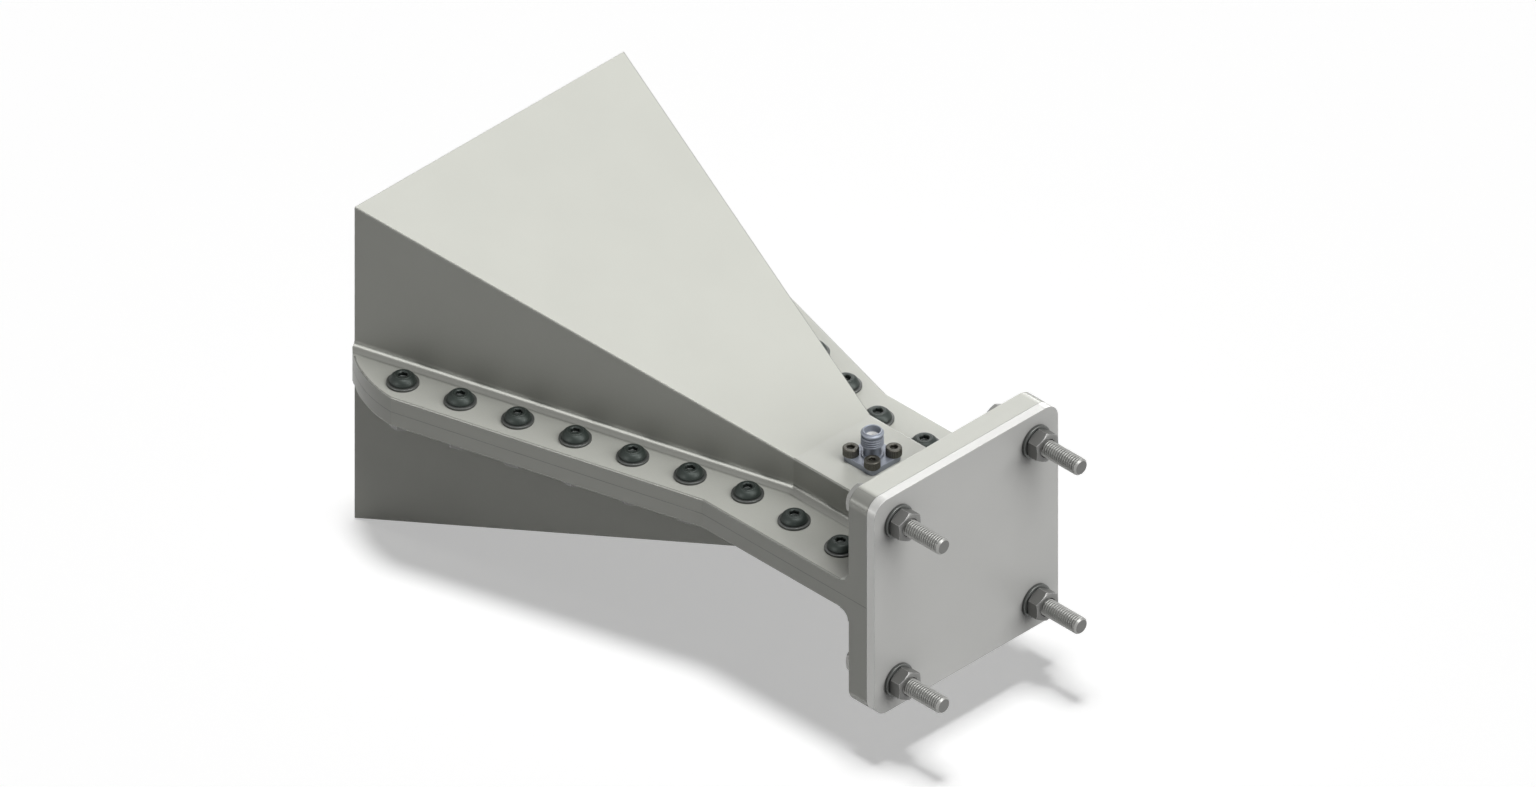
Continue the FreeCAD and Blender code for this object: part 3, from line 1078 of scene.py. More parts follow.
@dataclass(frozen=True)
class SplitWasher:
    """A spring ring that stands on z = 0, pressed flat and open at one side.

    Attributes:
        radius: Outer radius.
        bore_radius: Radius of its hole.
        thickness: Its thickness.
        gap: Width of the opening.
        gap_turn: Direction of the opening in degrees from +X.
        edge: Width of the broken edges.
        steps: Facets round the ring.
    """

    radius: float
    bore_radius: float
    thickness: float
    gap: float
    gap_turn: float = 30.0
    edge: float = 0.10 * MM
    steps: int = 60

    def build(self) -> bpy.types.Object:
        """Winds the section round and closes its two ends.

        Returns:
            The washer.
        """
        half_gap = math.asin(self.gap / 2 / self.bore_radius)
        start = math.radians(self.gap_turn) + half_gap
        middle = ((self.radius + self.bore_radius) / 2, 0, self.thickness / 2)
        ring = Bench.section(self.radius - self.bore_radius, self.thickness, middle)
        ring.data.transform(Matrix.Rotation(start, 4, "Z"))
        Bench.open(ring, "FACE")
        turn = 2 * math.pi - 2 * half_gap
        bpy.ops.mesh.spin(steps=self.steps, angle=turn, center=(0, 0, 0), axis=(0, 0, 1))
        bpy.ops.mesh.select_all(action="SELECT")
        bpy.ops.mesh.remove_doubles(threshold=WELD)
        bpy.ops.mesh.normals_make_consistent(inside=False)
        Bench.close()
        Bench.break_edges(ring, self.edge)
        Bench.smooth(ring)
        return ring


@dataclass
class ScrewThread:
    """A screw thread about Z, wound from its profile and cut off square at both ends.

    Attributes:
        radius: Radius over the crests.
        pitch: Rise of one turn.
        low: Height of its lower end.
        high: Height of its upper end.
        depth_share: Depth against the pitch.
        segments: Steps in one turn.
        crest_share: Width of the crest against the pitch.
        foot_share: Width of the ridge's foot against the pitch.
        spare_turns: Turns wound beyond what the length takes, and cut off again.
    """

    radius: float
    pitch: float
    low: float
    high: float
    depth_share: float = 0.60
    segments: int = 48
    crest_share: float = 1 / 8
    foot_share: float = 3 / 4
    spare_turns: int = 3

    def build(self) -> bpy.types.Object:
        """Winds the thread.

        Returns:
            The thread as a solid core with its ridge.
        """
        depth = self.depth_share * self.pitch
        crest = self.pitch * self.crest_share
        foot = self.pitch * self.foot_share
        outside = self.radius - depth / 2
        start = self.low - self.pitch
        thread = Bench.section(depth, foot, (outside, 0, start))
        Bench.open(thread, "FACE")
        bpy.ops.mesh.delete(type="ONLY_FACE")
        Bench.pick(thread, "EDGE", lambda place: place.x < outside)
        bpy.ops.mesh.delete(type="EDGE_FACE")
        Bench.pick(thread, "VERT", lambda place: place.x > outside)
        bpy.ops.transform.resize(value=(1, 1, crest / foot), center_override=(0, 0, start))
        Bench.pick(thread, "VERT", lambda place: place.x < outside and place.z > start)
        root = (0, 0, self.pitch - foot)
        bpy.ops.mesh.extrude_vertices_move(TRANSFORM_OT_translate={"value": root})
        Bench.close()
        modifier = thread.modifiers.new("winding", "SCREW")
        modifier.axis = "Z"
        modifier.screw_offset = self.pitch
        modifier.iterations = math.ceil((self.high - self.low) / self.pitch) + self.spare_turns
        modifier.steps = modifier.render_steps = self.segments
        Bench.only(thread)
        bpy.ops.object.modifier_apply(modifier=modifier.name)
        Bench.open(thread)
        bpy.ops.mesh.remove_doubles(threshold=WELD)
        for height, side in ((self.low, "clear_inner"), (self.high, "clear_outer")):
            cut = {"plane_co": (0, 0, height), "plane_no": (0, 0, 1), side: True}
            bpy.ops.mesh.bisect(use_fill=True, threshold=WELD / 10, **cut)
            bpy.ops.mesh.select_all(action="SELECT")
        bpy.ops.mesh.normals_make_consistent(inside=False)
        Bench.close()
        return thread


@dataclass(frozen=True)
class HexagonSocket:
    """A hexagon socket with a cone round its mouth.

    Attributes:
        size: Width across flats.
        depth: Its depth.
        lead: How far the mouth stands out past the corners.
        cone: Half the height of the cone.
        segments: Corners of the cone's rings.
    """

    size: float
    depth: float
    lead: float
    cone: float
    segments: int

    def cut(self, screw: bpy.types.Object, top: float) -> float:
        """Cuts the socket into a screw's head.

        Args:
            screw: The screw.
            top: Height of the head.

        Returns:
            Height of the socket's floor.
        """
        floor = top - self.depth
        Bench.work(screw, HexagonBar(self.size, floor, top + BEYOND).build(), Cut.REMOVE)
        wide = self.size / math.sqrt(3) + self.lead
        mouth = [(wide - self.cone, top - self.cone), (wide + self.cone, top + self.cone)]
        Bench.work(screw, Turning(mouth, segments=self.segments).build(), Cut.REMOVE)
        return floor


@dataclass
class ButtonHeadScrew:
    """A button-head screw with its head above z = 0 and its shank below.

    Attributes:
        head_radius: Radius of the head.
        head_height: Height of the head.
        lip: Height of the head's straight side.
        flat_radius: Radius of the flat on top.
        crown: How far the dome stands out from a cone.
        foot_edge: Chamfer under the head's rim.
        top_edge: Chamfer round the flat.
        socket: The hexagon socket.
        drill_slack: How much narrower than the socket its drilled hole is, on each side.
        drill_tip: Radius and depth of the drilled hole's point, under the socket's floor.
        drill_rim: How far the point's rim lies under the floor, and how far the drill is turned above it.
        shank_radius: Radius of the shank.
        shank_length: Length of the shank.
        tip: Chamfer at the shank's end.
        dome_steps: Rings over the dome.
    """

    head_radius: float = 3.8 * MM
    head_height: float = 2.2 * MM
    lip: float = 0.4 * MM
    flat_radius: float = 2.3 * MM
    crown: float = 0.25 * MM
    foot_edge: float = 0.1 * MM
    top_edge: float = 0.12 * MM
    socket: HexagonSocket = HexagonSocket(2.5 * MM, 1.3 * MM, lead=0.10 * MM, cone=0.4 * MM, segments=48)
    drill_slack: float = 0.05 * MM
    drill_tip: tuple[float, float] = (0.05 * MM, 0.5 * MM)
    drill_rim: tuple[float, float] = (0.02 * MM, 0.1 * MM)
    shank_radius: float = 2.0 * MM
    shank_length: float = 14.0 * MM
    tip: float = 0.5 * MM
    dome_steps: int = 7

    def dome(self) -> list[tuple[float, float]]:
        """Gives the stations over the dome, on an arc through the lip, the crown and the flat.

        Returns:
            Radius and height of each station.
        """
        rim = Vector((self.head_radius, self.lip))
        top = Vector((self.flat_radius, self.head_height))
        chord = top - rim
        outward = Vector((chord.y, -chord.x)).normalized()
        half = chord.length / 2
        radius = (half**2 + self.crown**2) / (2 * self.crown)
        centre = (rim + top) / 2 - outward * (radius - self.crown)
        stations = []
        for step in range(self.dome_steps + 1):
            point = rim.lerp(top, step / self.dome_steps)
            stations.append(tuple(centre + (point - centre).normalized() * radius))
        return stations

    def build(self) -> bpy.types.Object:
        """Turns the screw and cuts its socket.

        Returns:
            The screw.
        """
        shank, length, edge = self.shank_radius, self.shank_length, self.top_edge
        outline = [(shank - self.tip, -length), (shank, self.tip - length), (shank, 0.0)]
        outline += [(self.head_radius - self.foot_edge, 0.0), (self.head_radius, self.foot_edge)]
        outline += self.dome()[:-1]
        outline += [(self.flat_radius, self.head_height - edge), (self.flat_radius - edge, self.head_height)]
        screw = Turning(outline).build()
        floor = self.socket.cut(screw, self.head_height)
        drill = self.socket.size / 2 - self.drill_slack
        (tip, depth), (under, over) = self.drill_tip, self.drill_rim
        point = [(tip, floor - depth), (drill, floor - under), (drill, floor + over)]
        Bench.work(screw, Turning(point, segments=32).build(), Cut.REMOVE)
        Bench.smooth(screw)
        return screw


@dataclass
class SocketCapScrew:
    """A socket-cap screw with a knurled head above z = 0 and its shank below.

    Attributes:
        head_radius: Radius of the head.
        head_height: Height of the head.
        head_chamfer: Chamfer at the top of the head.
        foot_edge: Chamfer under the head.
        ridges: Ridges of the knurl.
        ridge_depth: Depth of the knurl against the radius.
        knurl_foot: Height where the knurl starts.
        knurl_run_out: Length of the smooth ring between the knurl and the chamfer.
        socket: The hexagon socket.
        shank_radius: Radius of the shank.
        shank_length: Length of the shank.
        tip: Chamfer at the shank's end.
    """

    head_radius: float = 2.25 * MM
    head_height: float = 2.5 * MM
    head_chamfer: float = 0.25 * MM
    foot_edge: float = 0.12 * MM
    ridges: int = 30
    ridge_depth: float = 0.055
    knurl_foot: float = 0.22 * MM
    knurl_run_out: float = 0.1 * MM
    socket: HexagonSocket = HexagonSocket(2.0 * MM, 1.1 * MM, lead=0.08 * MM, cone=0.3 * MM, segments=36)
    shank_radius: float = 1.25 * MM
    shank_length: float = 6.0 * MM
    tip: float = 0.25 * MM

    def build(self) -> bpy.types.Object:
        """Turns the screw, rolls its knurl and cuts its socket.

        Returns:
            The screw.
        """
        shank, length, head = self.shank_radius, self.shank_length, self.head_radius
        low, run_out = self.knurl_foot, self.knurl_run_out
        high = self.head_height - self.head_chamfer - run_out
        outline = [(shank - self.tip, -length), (shank, self.tip - length), (shank, 0.0)]
        outline += [(head - self.foot_edge, 0.0), (head, self.foot_edge), (head, low), (head, high)]
        outline += [(head, high + run_out), (head - self.head_chamfer, self.head_height)]
        corners = 2 * self.ridges
        screw = Turning(outline, segments=corners).build()
        self.roll_knurl(screw, corners, low, high)
        self.socket.cut(screw, self.head_height)
        Bench.smooth(screw, 25.0)
        return screw

    def roll_knurl(self, screw: bpy.types.Object, corners: int, low: float, high: float) -> None:
        """Presses every other line of the head's side inwards.

        Args:
            screw: The screw.
            corners: Corners of its rings.
            low: Height where the knurl starts.
            high: Height where it ends.
        """
        step = 2 * math.pi / corners
        slack = 0.01 * MM

        def in_groove(place: Vector) -> bool:
            """Says whether a corner lies on a line that is pressed inwards."""
            side = place.xy.length > self.head_radius - slack and low - slack < place.z < high + slack
            return side and round(math.atan2(place.y, place.x) / step) % 2 == 0

        Bench.open(screw, "VERT")
        Bench.pick(screw, "VERT", in_groove)
        press = 1 - self.ridge_depth
        bpy.ops.transform.resize(value=(press, press, 1), center_override=(0, 0, 0))
        Bench.close()


@dataclass
class HexagonBolt:
    """A hexagon-head bolt with its head above z = 0 and its shank below.

    Attributes:
        head_size: Width of the head across flats.
        head_height: Height of the head.
        radius: Radius over the thread.
        pitch: Rise of the thread in one turn.
        length: Length of the shank.
        threaded: Length of the thread.
        dog: Length of the plain tip.
        tip: Chamfer of the tip.
        core_slack: How far the core under the thread is sunk below its roots.
        tip_slack: How much thinner the plain tip is than the thread.
        dog_slope: How far before the plain tip's end its slope starts, and how far after it the slope ends.
        shank_slope: Length over which the core widens to the shank.
        head_gap: Where the shank ends inside the head.
        thread_shift: How far the thread lies towards the tip, so that both its ends are on the slopes.
    """

    head_size: float = 8.0 * MM
    head_height: float = 3.5 * MM
    radius: float = 2.5 * MM
    pitch: float = 0.8 * MM
    length: float = 30.0 * MM
    threaded: float = 18.0 * MM
    dog: float = 1.0 * MM
    tip: float = 0.5 * MM
    core_slack: float = 0.03 * MM
    tip_slack: float = 0.04 * MM
    dog_slope: tuple[float, float] = (0.25 * MM, 0.15 * MM)
    shank_slope: float = 0.3 * MM
    head_gap: float = 0.2 * MM
    thread_shift: float = 0.1 * MM

    def build(self) -> bpy.types.Object:
        """Makes the bolt.

        Returns:
            The bolt.
        """
        bolt = HexagonBlank(self.head_size, self.head_height, False).build()
        core = self.radius - ScrewThread.depth_share * self.pitch - self.core_slack
        start = self.threaded - self.length
        over = self.radius - self.tip_slack
        before, after = self.dog_slope
        outline = [
            (self.radius - self.tip, -self.length),
            (over, self.tip - self.length),
            (over, self.dog - before - self.length),
            (core, self.dog + after - self.length),
            (core, start - self.shank_slope),
            (self.radius, start),
            (self.radius, self.head_gap),
        ]
        Bench.work(bolt, Turning(outline, segments=48).build(), Cut.JOIN)
        low = self.dog - self.thread_shift - self.length
        thread = ScrewThread(self.radius, self.pitch, low, start - self.thread_shift).build()
        Bench.work(bolt, thread, Cut.JOIN)
        Bench.smooth(bolt, 28.0)
        return bolt


@dataclass
class SeamJoint:
    """The screws, washers and nuts that hold the two halves together along both seam flanges.

    Attributes:
        flange_thickness: Thickness of one seam flange.
        washer: The washer.
        nut: The nut.
        nut_turn: How far the first nut is turned, in degrees.
        screws_per_side: Screws along one side.
        straight_screws: Screws along the straight guide, counted from the rear.
        pitch: Distance from screw to screw.
        first_x: Place of the rearmost screw.
        row_y: Distance of the straight row from the middle.
        mouth_half_width: Half the width of the mouth outside.
        guide_half_width: Half the width of the straight guide outside.
        flare_length: Length of the flare.
    """

    flange_thickness: float = 4.7 * MM
    washer: FlatWasher = FlatWasher(4.5 * MM, 2.15 * MM, 0.8 * MM)
    nut: HexagonNut = HexagonNut(7.0 * MM, 3.2 * MM, 2.02 * MM, 0.25 * MM)
    nut_turn: float = 30.0
    screws_per_side: int = 9
    straight_screws: int = 3
    pitch: float = 17.75 * MM
    first_x: float = -158.7 * MM
    row_y: float = 24.805 * MM
    mouth_half_width: float = 51.4 * MM
    guide_half_width: float = 14.605 * MM
    flare_length: float = 130.6 * MM

    def places(self) -> list[Vector]:
        """Gives the screws' places on the left side, from the rear to the mouth.

        Returns:
            The places.
        """
        flare = math.atan2(self.mouth_half_width - self.guide_half_width, self.flare_length)
        spots = [Vector((self.first_x, self.row_y, 0))]
        for index in range(self.screws_per_side - 1):
            turn = flare if index >= self.straight_screws - 1 else 0.0
            spots.append(spots[-1] + Vector((math.cos(turn), math.sin(turn), 0)) * self.pitch)
        return spots

    def row(self, side: int, height: float, turned: float, phase: float = 0.0) -> list[Matrix]:
        """Gives where the pieces of one row stand.

        Args:
            side: 1 for the left side, -1 for the right.
            height: Height of the row.
            turned: How much further each piece is turned than its neighbour.
            phase: How far the first piece is turned.

        Returns:
            A placing for each piece.
        """
        placings = []
        for index, place in enumerate(self.places()):
            spot = Matrix.Translation((place.x, side * place.y, height))
            placings.append(spot @ Matrix.Rotation(phase + turned * index, 4, "Z"))
        return placings

    def build(self, shelf: FinishShelf) -> None:
        """Makes and places every piece of the joint.

        Args:
            shelf: The finishes.
        """
        seat = self.flange_thickness + self.washer.thickness
        foot = -seat - self.nut.height
        for name, side in (("left", 1), ("right", -1)):
            screws = Bench.repeated(ButtonHeadScrew().build(), self.row(side, seat, GOLDEN_TURN, side))
            shelf.fit(screws, f"seam_screws_{name}", f"{name}_seam_screws", Finish.BLACK_OXIDE)
            for kind, height in (("head", self.flange_thickness), ("nut", -seat)):
                washers = Bench.repeated(self.washer.build(), self.row(side, height, 0.0))
                shelf.fit(washers, f"{kind}_washers_{name}", f"{name}_{kind}_washers", Finish.WASHER)
            phase = math.radians(self.nut_turn) * side
            nuts = Bench.repeated(self.nut.build(), self.row(side, foot, GOLDEN_TURN, phase))
            shelf.fit(nuts, f"seam_nuts_{name}", f"{name}_seam_nuts", Finish.NUT)


@dataclass
class RearJoint:
    """The bolts, washers and nuts that hold the back plate on the rear flange.

    Attributes:
        half_spacing: Half the distance from bolt to bolt.
        flange_x: Front face of the rear flange.
        rear_x: Rear face of the back plate.
        washer: The flat washer.
        split: The split washer.
        nut: The nut.
    """

    half_spacing: float = 26.2 * MM
    flange_x: float = -171.6 * MM
    rear_x: float = -181.7 * MM
    washer: FlatWasher = FlatWasher(5.0 * MM, 2.65 * MM, 1.0 * MM)
    split: SplitWasher = SplitWasher(4.6 * MM, 2.65 * MM, 1.2 * MM, 1.0 * MM)
    nut: HexagonNut = HexagonNut(8.0 * MM, 4.0 * MM, 2.52 * MM, 0.30 * MM)

    def corners(self) -> dict[str, tuple[float, float]]:
        """Gives the bolts' places by name, across and up.

        Returns:
            Each bolt's place by its name.
        """
        half = self.half_spacing
        return {
            "upper_left": (half, half),
            "upper_right": (-half, half),
            "lower_left": (half, -half),
            "lower_right": (-half, -half),
        }

    def facing_forward(self, x: float, corner: tuple[float, float]) -> Matrix:
        """Gives a placing that turns a piece's own Z to +X.

        Args:
            x: Where the piece's foot is.
            corner: The bolt's place.

        Returns:
            The placing.
        """
        return Matrix.Translation((x, *corner)) @ Matrix.Rotation(math.pi / 2, 4, "Y")

    def build(self, shelf: FinishShelf) -> None:
        """Makes and places every piece of the joint.

        Args:
            shelf: The finishes.
        """
        seat = self.flange_x + self.washer.thickness + self.split.thickness
        nut_foot = self.rear_x - self.washer.thickness - self.nut.height
        bolt_pattern = HexagonBolt().build()
        nut_pattern = self.nut.build()
        for name, corner in self.corners().items():
            for pattern, kind, x, finish in (
                (bolt_pattern, "bolt", seat, Finish.BOLT),
                (nut_pattern, "nut", nut_foot, Finish.NUT),
            ):
                piece = Bench.copied(pattern, self.facing_forward(x, corner))
                shelf.fit(piece, f"{kind}_{name}", f"rear_{kind}_{name}", finish)
        bpy.data.objects.remove(bolt_pattern)
        bpy.data.objects.remove(nut_pattern)
        sets = (
            ("bolt_washers", self.flange_x, "washers_under_bolts", self.washer),
            ("lock_washers", self.flange_x + self.washer.thickness, "split_washers", self.split),
            ("plate_washers", self.rear_x - self.washer.thickness, "washers_under_nuts", self.washer),
        )
        for node, x, name, washer in sets:
            spots = [self.facing_forward(x, corner) for corner in self.corners().values()]
            shelf.fit(Bench.repeated(washer.build(), spots), name, node, Finish.WASHER)


@dataclass
class CoaxialJack:
    """The coaxial jack on top of the guide with its sleeve, contact and screws.

    Attributes:
        x: Place of its axis along the guide.
        foot: Height of the guide's top.
        flange_side: Side of its square flange.
        flange_thickness: Thickness of the flange.
        flange_corner: Radius of the flange's corners.
        screw_half_spacing: Half the distance from screw to screw.
        screw_hole: Radius of the screws' holes.
        drill_ends: Heights between which those holes are drilled.
        boss: Radius and top of the low boss on the flange.
        neck: Radius of the neck.
        barrel: Radius of the threaded barrel.
        barrel_ends: Heights where the barrel starts and ends.
        groove: Radius of the groove above the barrel.
        collar_ends: Heights where the collar starts and ends.
        rim: Radius of the rim.
        height: Height of the rim's top above the guide.
        thread_pitch: Rise of the barrel's thread in one turn.
        rim_bore: Radius of the wide bore at the top.
        sleeve: Radius of the insulating sleeve.
        sleeve_top: Height of the sleeve's upper face.
        sleeve_foot: Height of the sleeve's lower face in the frame.
        contact: Radius of the centre contact.
        contact_top: Height of the contact's upper end.
        contact_foot: Height of the probe's lower end in the frame.
        contact_socket: Radius of the contact's socket.
        contact_socket_depth: Depth of the socket.
        clearance: Clearance between the parts.
        flange_edge: Width of the flange's broken edges.
        edge: Width of the stem's broken edges.
        lead: Length of the cone at the barrel's foot.
        crest_slack: How much thinner the barrel is under the thread's crests.
        top_cone: How much thinner the barrel is where its upper cone starts and ends.
        thread_depth: Depth of the barrel's thread against its pitch.
        lip: Width of the chamfer round the wide bore.
        slit: Width of the contact's slits.
        slit_span: Length of the saw along Z, and how far under the contact's top its middle is.
    """

    x: float = -145.9 * MM
    foot: float = 15.24 * MM
    flange_side: float = 11.5 * MM
    flange_thickness: float = 1.8 * MM
    flange_corner: float = 1.2 * MM
    screw_half_spacing: float = 4.1 * MM
    screw_hole: float = 1.3 * MM
    drill_ends: tuple[float, float] = (-1.0 * MM, 3.0 * MM)
    boss: tuple[float, float] = (3.1 * MM, 2.2 * MM)
    neck: float = 2.45 * MM
    barrel: float = 3.175 * MM
    barrel_ends: tuple[float, float] = (5.2 * MM, 8.0 * MM)
    groove: float = 2.7 * MM
    collar_ends: tuple[float, float] = (8.7 * MM, 9.15 * MM)
    rim: float = 2.675 * MM
    height: float = 9.85 * MM
    thread_pitch: float = 0.7056 * MM
    rim_bore: float = 2.25 * MM
    sleeve: float = 2.05 * MM
    sleeve_top: float = 7.95 * MM
    sleeve_foot: float = 5.08 * MM
    contact: float = 0.635 * MM
    contact_top: float = 7.85 * MM
    contact_foot: float = -0.62 * MM
    contact_socket: float = 0.47 * MM
    contact_socket_depth: float = 3.0 * MM
    clearance: float = 0.02 * MM
    flange_edge: float = 0.12 * MM
    edge: float = 0.10 * MM
    lead: float = 0.25 * MM
    crest_slack: float = 0.02 * MM
    top_cone: tuple[float, float] = (0.12 * MM, 0.2 * MM)
    thread_depth: float = 0.55
    lip: float = 0.12 * MM
    slit: float = 0.14 * MM
    slit_span: tuple[float, float] = (2.6 * MM, 0.7 * MM)

    def screw_spots(self) -> list[Vector]:
        """Gives the screws' places from the jack's axis."""
        half = self.screw_half_spacing
        return [Vector((sx * half, sy * half, 0)) for sx in (1, -1) for sy in (1, -1)]

    def standing(self, height: float = 0.0) -> Matrix:
        """Gives a placing on the jack's axis at a height above the guide's top."""
        return Matrix.Translation((self.x, 0, self.foot + height))

    def flange(self) -> bpy.types.Object:
        """Makes the square flange with round corners and its holes.

        Returns:
            The flange.
        """
        side, thick = self.flange_side, self.flange_thickness
        plate = Bench.block((side, side, thick), thick / 2)
        Bench.open(plate)
        mesh = bmesh.from_edit_mesh(plate.data)
        bpy.ops.mesh.select_all(action="DESELECT")
        for edge in mesh.edges:
            ends = [corner.co for corner in edge.verts]
            edge.select_set(abs(ends[0].z - ends[1].z) > thick / 2)
        bmesh.update_edit_mesh(plate.data)
        bpy.ops.mesh.bevel(offset=self.flange_corner, segments=8, affect="EDGES")
        Bench.close()
        Bench.break_edges(plate, self.flange_edge, 60.0)
        drill = [(self.screw_hole, end) for end in self.drill_ends]
        for spot in self.screw_spots():
            hole = Turning(drill, segments=40).build()
            hole.data.transform(Matrix.Translation(spot))
            Bench.work(plate, hole, Cut.REMOVE)
        return plate

    def stem(self) -> bpy.types.Object:
        """Turns the boss, neck, barrel, collar and rim, with the thread on the barrel.

        Returns:
            The stem.
        """
        low, high = self.barrel_ends
        edge, lead = self.edge, self.lead
        core = self.barrel - self.thread_depth * self.thread_pitch - self.crest_slack
        boss, boss_top = self.boss
        collar_foot, collar_top = self.collar_ends
        outline = [
            (boss, edge),
            (boss, boss_top - edge),
            (boss - edge, boss_top),
            (self.neck, boss_top),
            (self.neck, low),
            (self.barrel - lead, low),
            (self.barrel - self.crest_slack, low + lead),
            (core, low + 1.6 * lead),
            (core, high - 1.4 * lead),
            (self.barrel - self.top_cone[0], high - 0.4 * lead),
            (self.barrel - self.top_cone[1], high),
            (self.groove, high),
            (self.groove, collar_foot),
            (self.barrel - edge, collar_foot),
            (self.barrel, collar_foot + edge),
            (self.barrel, collar_top - edge),
            (self.barrel - edge / 2, collar_top + edge / 2),
            (self.rim, collar_top + self.barrel - self.rim - edge),
            (self.rim, self.height - edge),
            (self.rim - edge, self.height),
        ]
        stem = Turning(outline, segments=72).build()
        ends = (low + lead, high - 0.5 * lead)
        thread = ScrewThread(self.barrel, self.thread_pitch, *ends, self.thread_depth, segments=56).build()
        Bench.work(stem, thread, Cut.JOIN)
        return stem

    def body(self) -> bpy.types.Object:
        """Makes the jack's metal body in one piece.

        Returns:
            The body.
        """
        body = self.flange()
        Bench.work(body, self.stem(), Cut.JOIN)
        inner = self.sleeve + self.clearance
        mouth = self.rim_bore + self.lip
        bore = [
            (inner, -BEYOND),
            (inner, self.sleeve_top),
            (self.rim_bore, self.sleeve_top),
            (self.rim_bore, self.height - self.lip),
            (mouth, self.height),
            (mouth + BEYOND, self.height + BEYOND),
        ]
        Bench.work(body, Turning(bore, segments=72).build(), Cut.REMOVE)
        Bench.smooth(body, 28.0)
        return body

    def insulating_sleeve(self) -> bpy.types.Object:
        """Turns the white sleeve from the jack's bore down to the guide's ceiling.

        Returns:
            The sleeve.
        """
        bore = self.contact + self.clearance
        low, high = self.sleeve_foot - self.foot, self.sleeve_top
        edge = 0.15 * MM
        outline = [(bore, low), (self.sleeve, low), (self.sleeve, high - edge), (self.sleeve - edge, high)]
        outline += [(bore + edge / 2, high), (bore, high - edge / 2)]
        sleeve = Turning(outline, bored=True).build()
        Bench.smooth(sleeve)
        return sleeve

    def centre_contact(self) -> bpy.types.Object:
        """Turns the contact with its round probe end, then bores and slits its socket.

        Returns:
            The contact.
        """
        low, high = self.contact_foot - self.foot, self.contact_top
        end = 0.3 * MM
        radius = self.contact
        outline = [(radius - end, low), (radius - 0.3 * end, low + 0.3 * end), (radius, low + end)]
        outline += [(radius, high - self.edge), (radius - self.edge, high)]
        pin = Turning(outline, segments=40).build()
        floor = high - self.contact_socket_depth
        point = (0.1 * MM, floor - 0.25 * MM)
        socket = [point, (self.contact_socket, floor), (self.contact_socket, high + BEYOND)]
        Bench.work(pin, Turning(socket, segments=40).build(), Cut.REMOVE)
        length, under = self.slit_span
        for quarter in (0.0, math.pi / 2):
            saw = Bench.block((self.slit, 4 * radius, length), high - under)
            saw.data.transform(Matrix.Rotation(quarter, 4, "Z"))
            Bench.work(pin, saw, Cut.REMOVE)
        Bench.smooth(pin)
        return pin

    def build(self, shelf: FinishShelf) -> None:
        """Makes and places every piece of the jack.

        Args:
            shelf: The finishes.
        """
        seat = self.standing(self.flange_thickness)
        spots = [
            Matrix.Translation(spot) @ seat @ Matrix.Rotation(GOLDEN_TURN * index, 4, "Z")
            for index, spot in enumerate(self.screw_spots())
        ]
        screws = Bench.repeated(SocketCapScrew().build(), spots)
        shelf.fit(screws, "connector_screws", "jack_screws", Finish.BROWN_OXIDE)
        for maker, name, node, finish in (
            (self.body, "connector_body", "jack_body", Finish.JACK),
            (self.insulating_sleeve, "connector_sleeve", "jack_insulator", Finish.SLEEVE),
            (self.centre_contact, "connector_contact", "jack_centre_contact", Finish.CONTACT),
        ):
            shelf.fit(Bench.repeated(maker(), [self.standing()]), name, node, finish)


@dataclass
class HornShell:
    """The two milled halves and the back plate, which the CAD nodes show themselves.

    Attributes:
        nodes: The finish of each node.
    """

    nodes: dict[str, Finish] = field(
        default_factory=lambda: {
            "upper_horn_half": Finish.HORN,
            "lower_horn_half": Finish.HORN,
            "back_plate": Finish.PLATE,
        }
    )

    def build(self, frame: dict, shelf: FinishShelf) -> None:
        """Coats the nodes.

        Args:
            frame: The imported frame.
            shelf: The finishes.
        """
        for name, finish in self.nodes.items():
            shelf.coat(frame["nodes"][name], finish)
            LOG.info("%s: %s", name, finish.value.name)


class Reach(Enum):
    """What a lamp lights."""

    PIECES = "EXCLUDE"
    FLOOR = "INCLUDE"


@dataclass(frozen=True)
class Lamp:
    """A distant lamp.

    Attributes:
        name: Its name.
        turn: Its direction in the plan, in degrees from +X towards +Y.
        height: Its height over the horizon in degrees.
        strength: Its strength.
        width: Its width in degrees.
        reach: Whether it lights the pieces or the floor.
        sheen_only: Whether it shows in reflections alone.
    """

    name: str
    turn: float
    height: float
    strength: float
    width: float
    reach: Reach = Reach.PIECES
    sheen_only: bool = False

    def hang(self, floor: bpy.types.Object) -> None:
        """Hangs the lamp.

        Args:
            floor: The floor.
        """
        light = bpy.data.lights.new(self.name, "SUN")
        light.energy = self.strength
        light.angle = math.radians(self.width)
        holder = bpy.data.objects.new(self.name, light)
        bpy.context.scene.collection.objects.link(holder)
        turn, height = math.radians(self.turn), math.radians(self.height)
        level = math.cos(height)
        back = Vector((math.cos(turn) * level, math.sin(turn) * level, math.sin(height)))
        holder.rotation_mode = "QUATERNION"
        holder.rotation_quaternion = (-back).to_track_quat("-Z", "Y")
        holder.visible_diffuse = not self.sheen_only
        receivers = bpy.data.collections.new(f"{self.name}_receivers")
        receivers.objects.link(floor)
        holder.light_linking.receiver_collection = receivers
        receivers.collection_objects[0].light_linking.link_state = self.reach.value


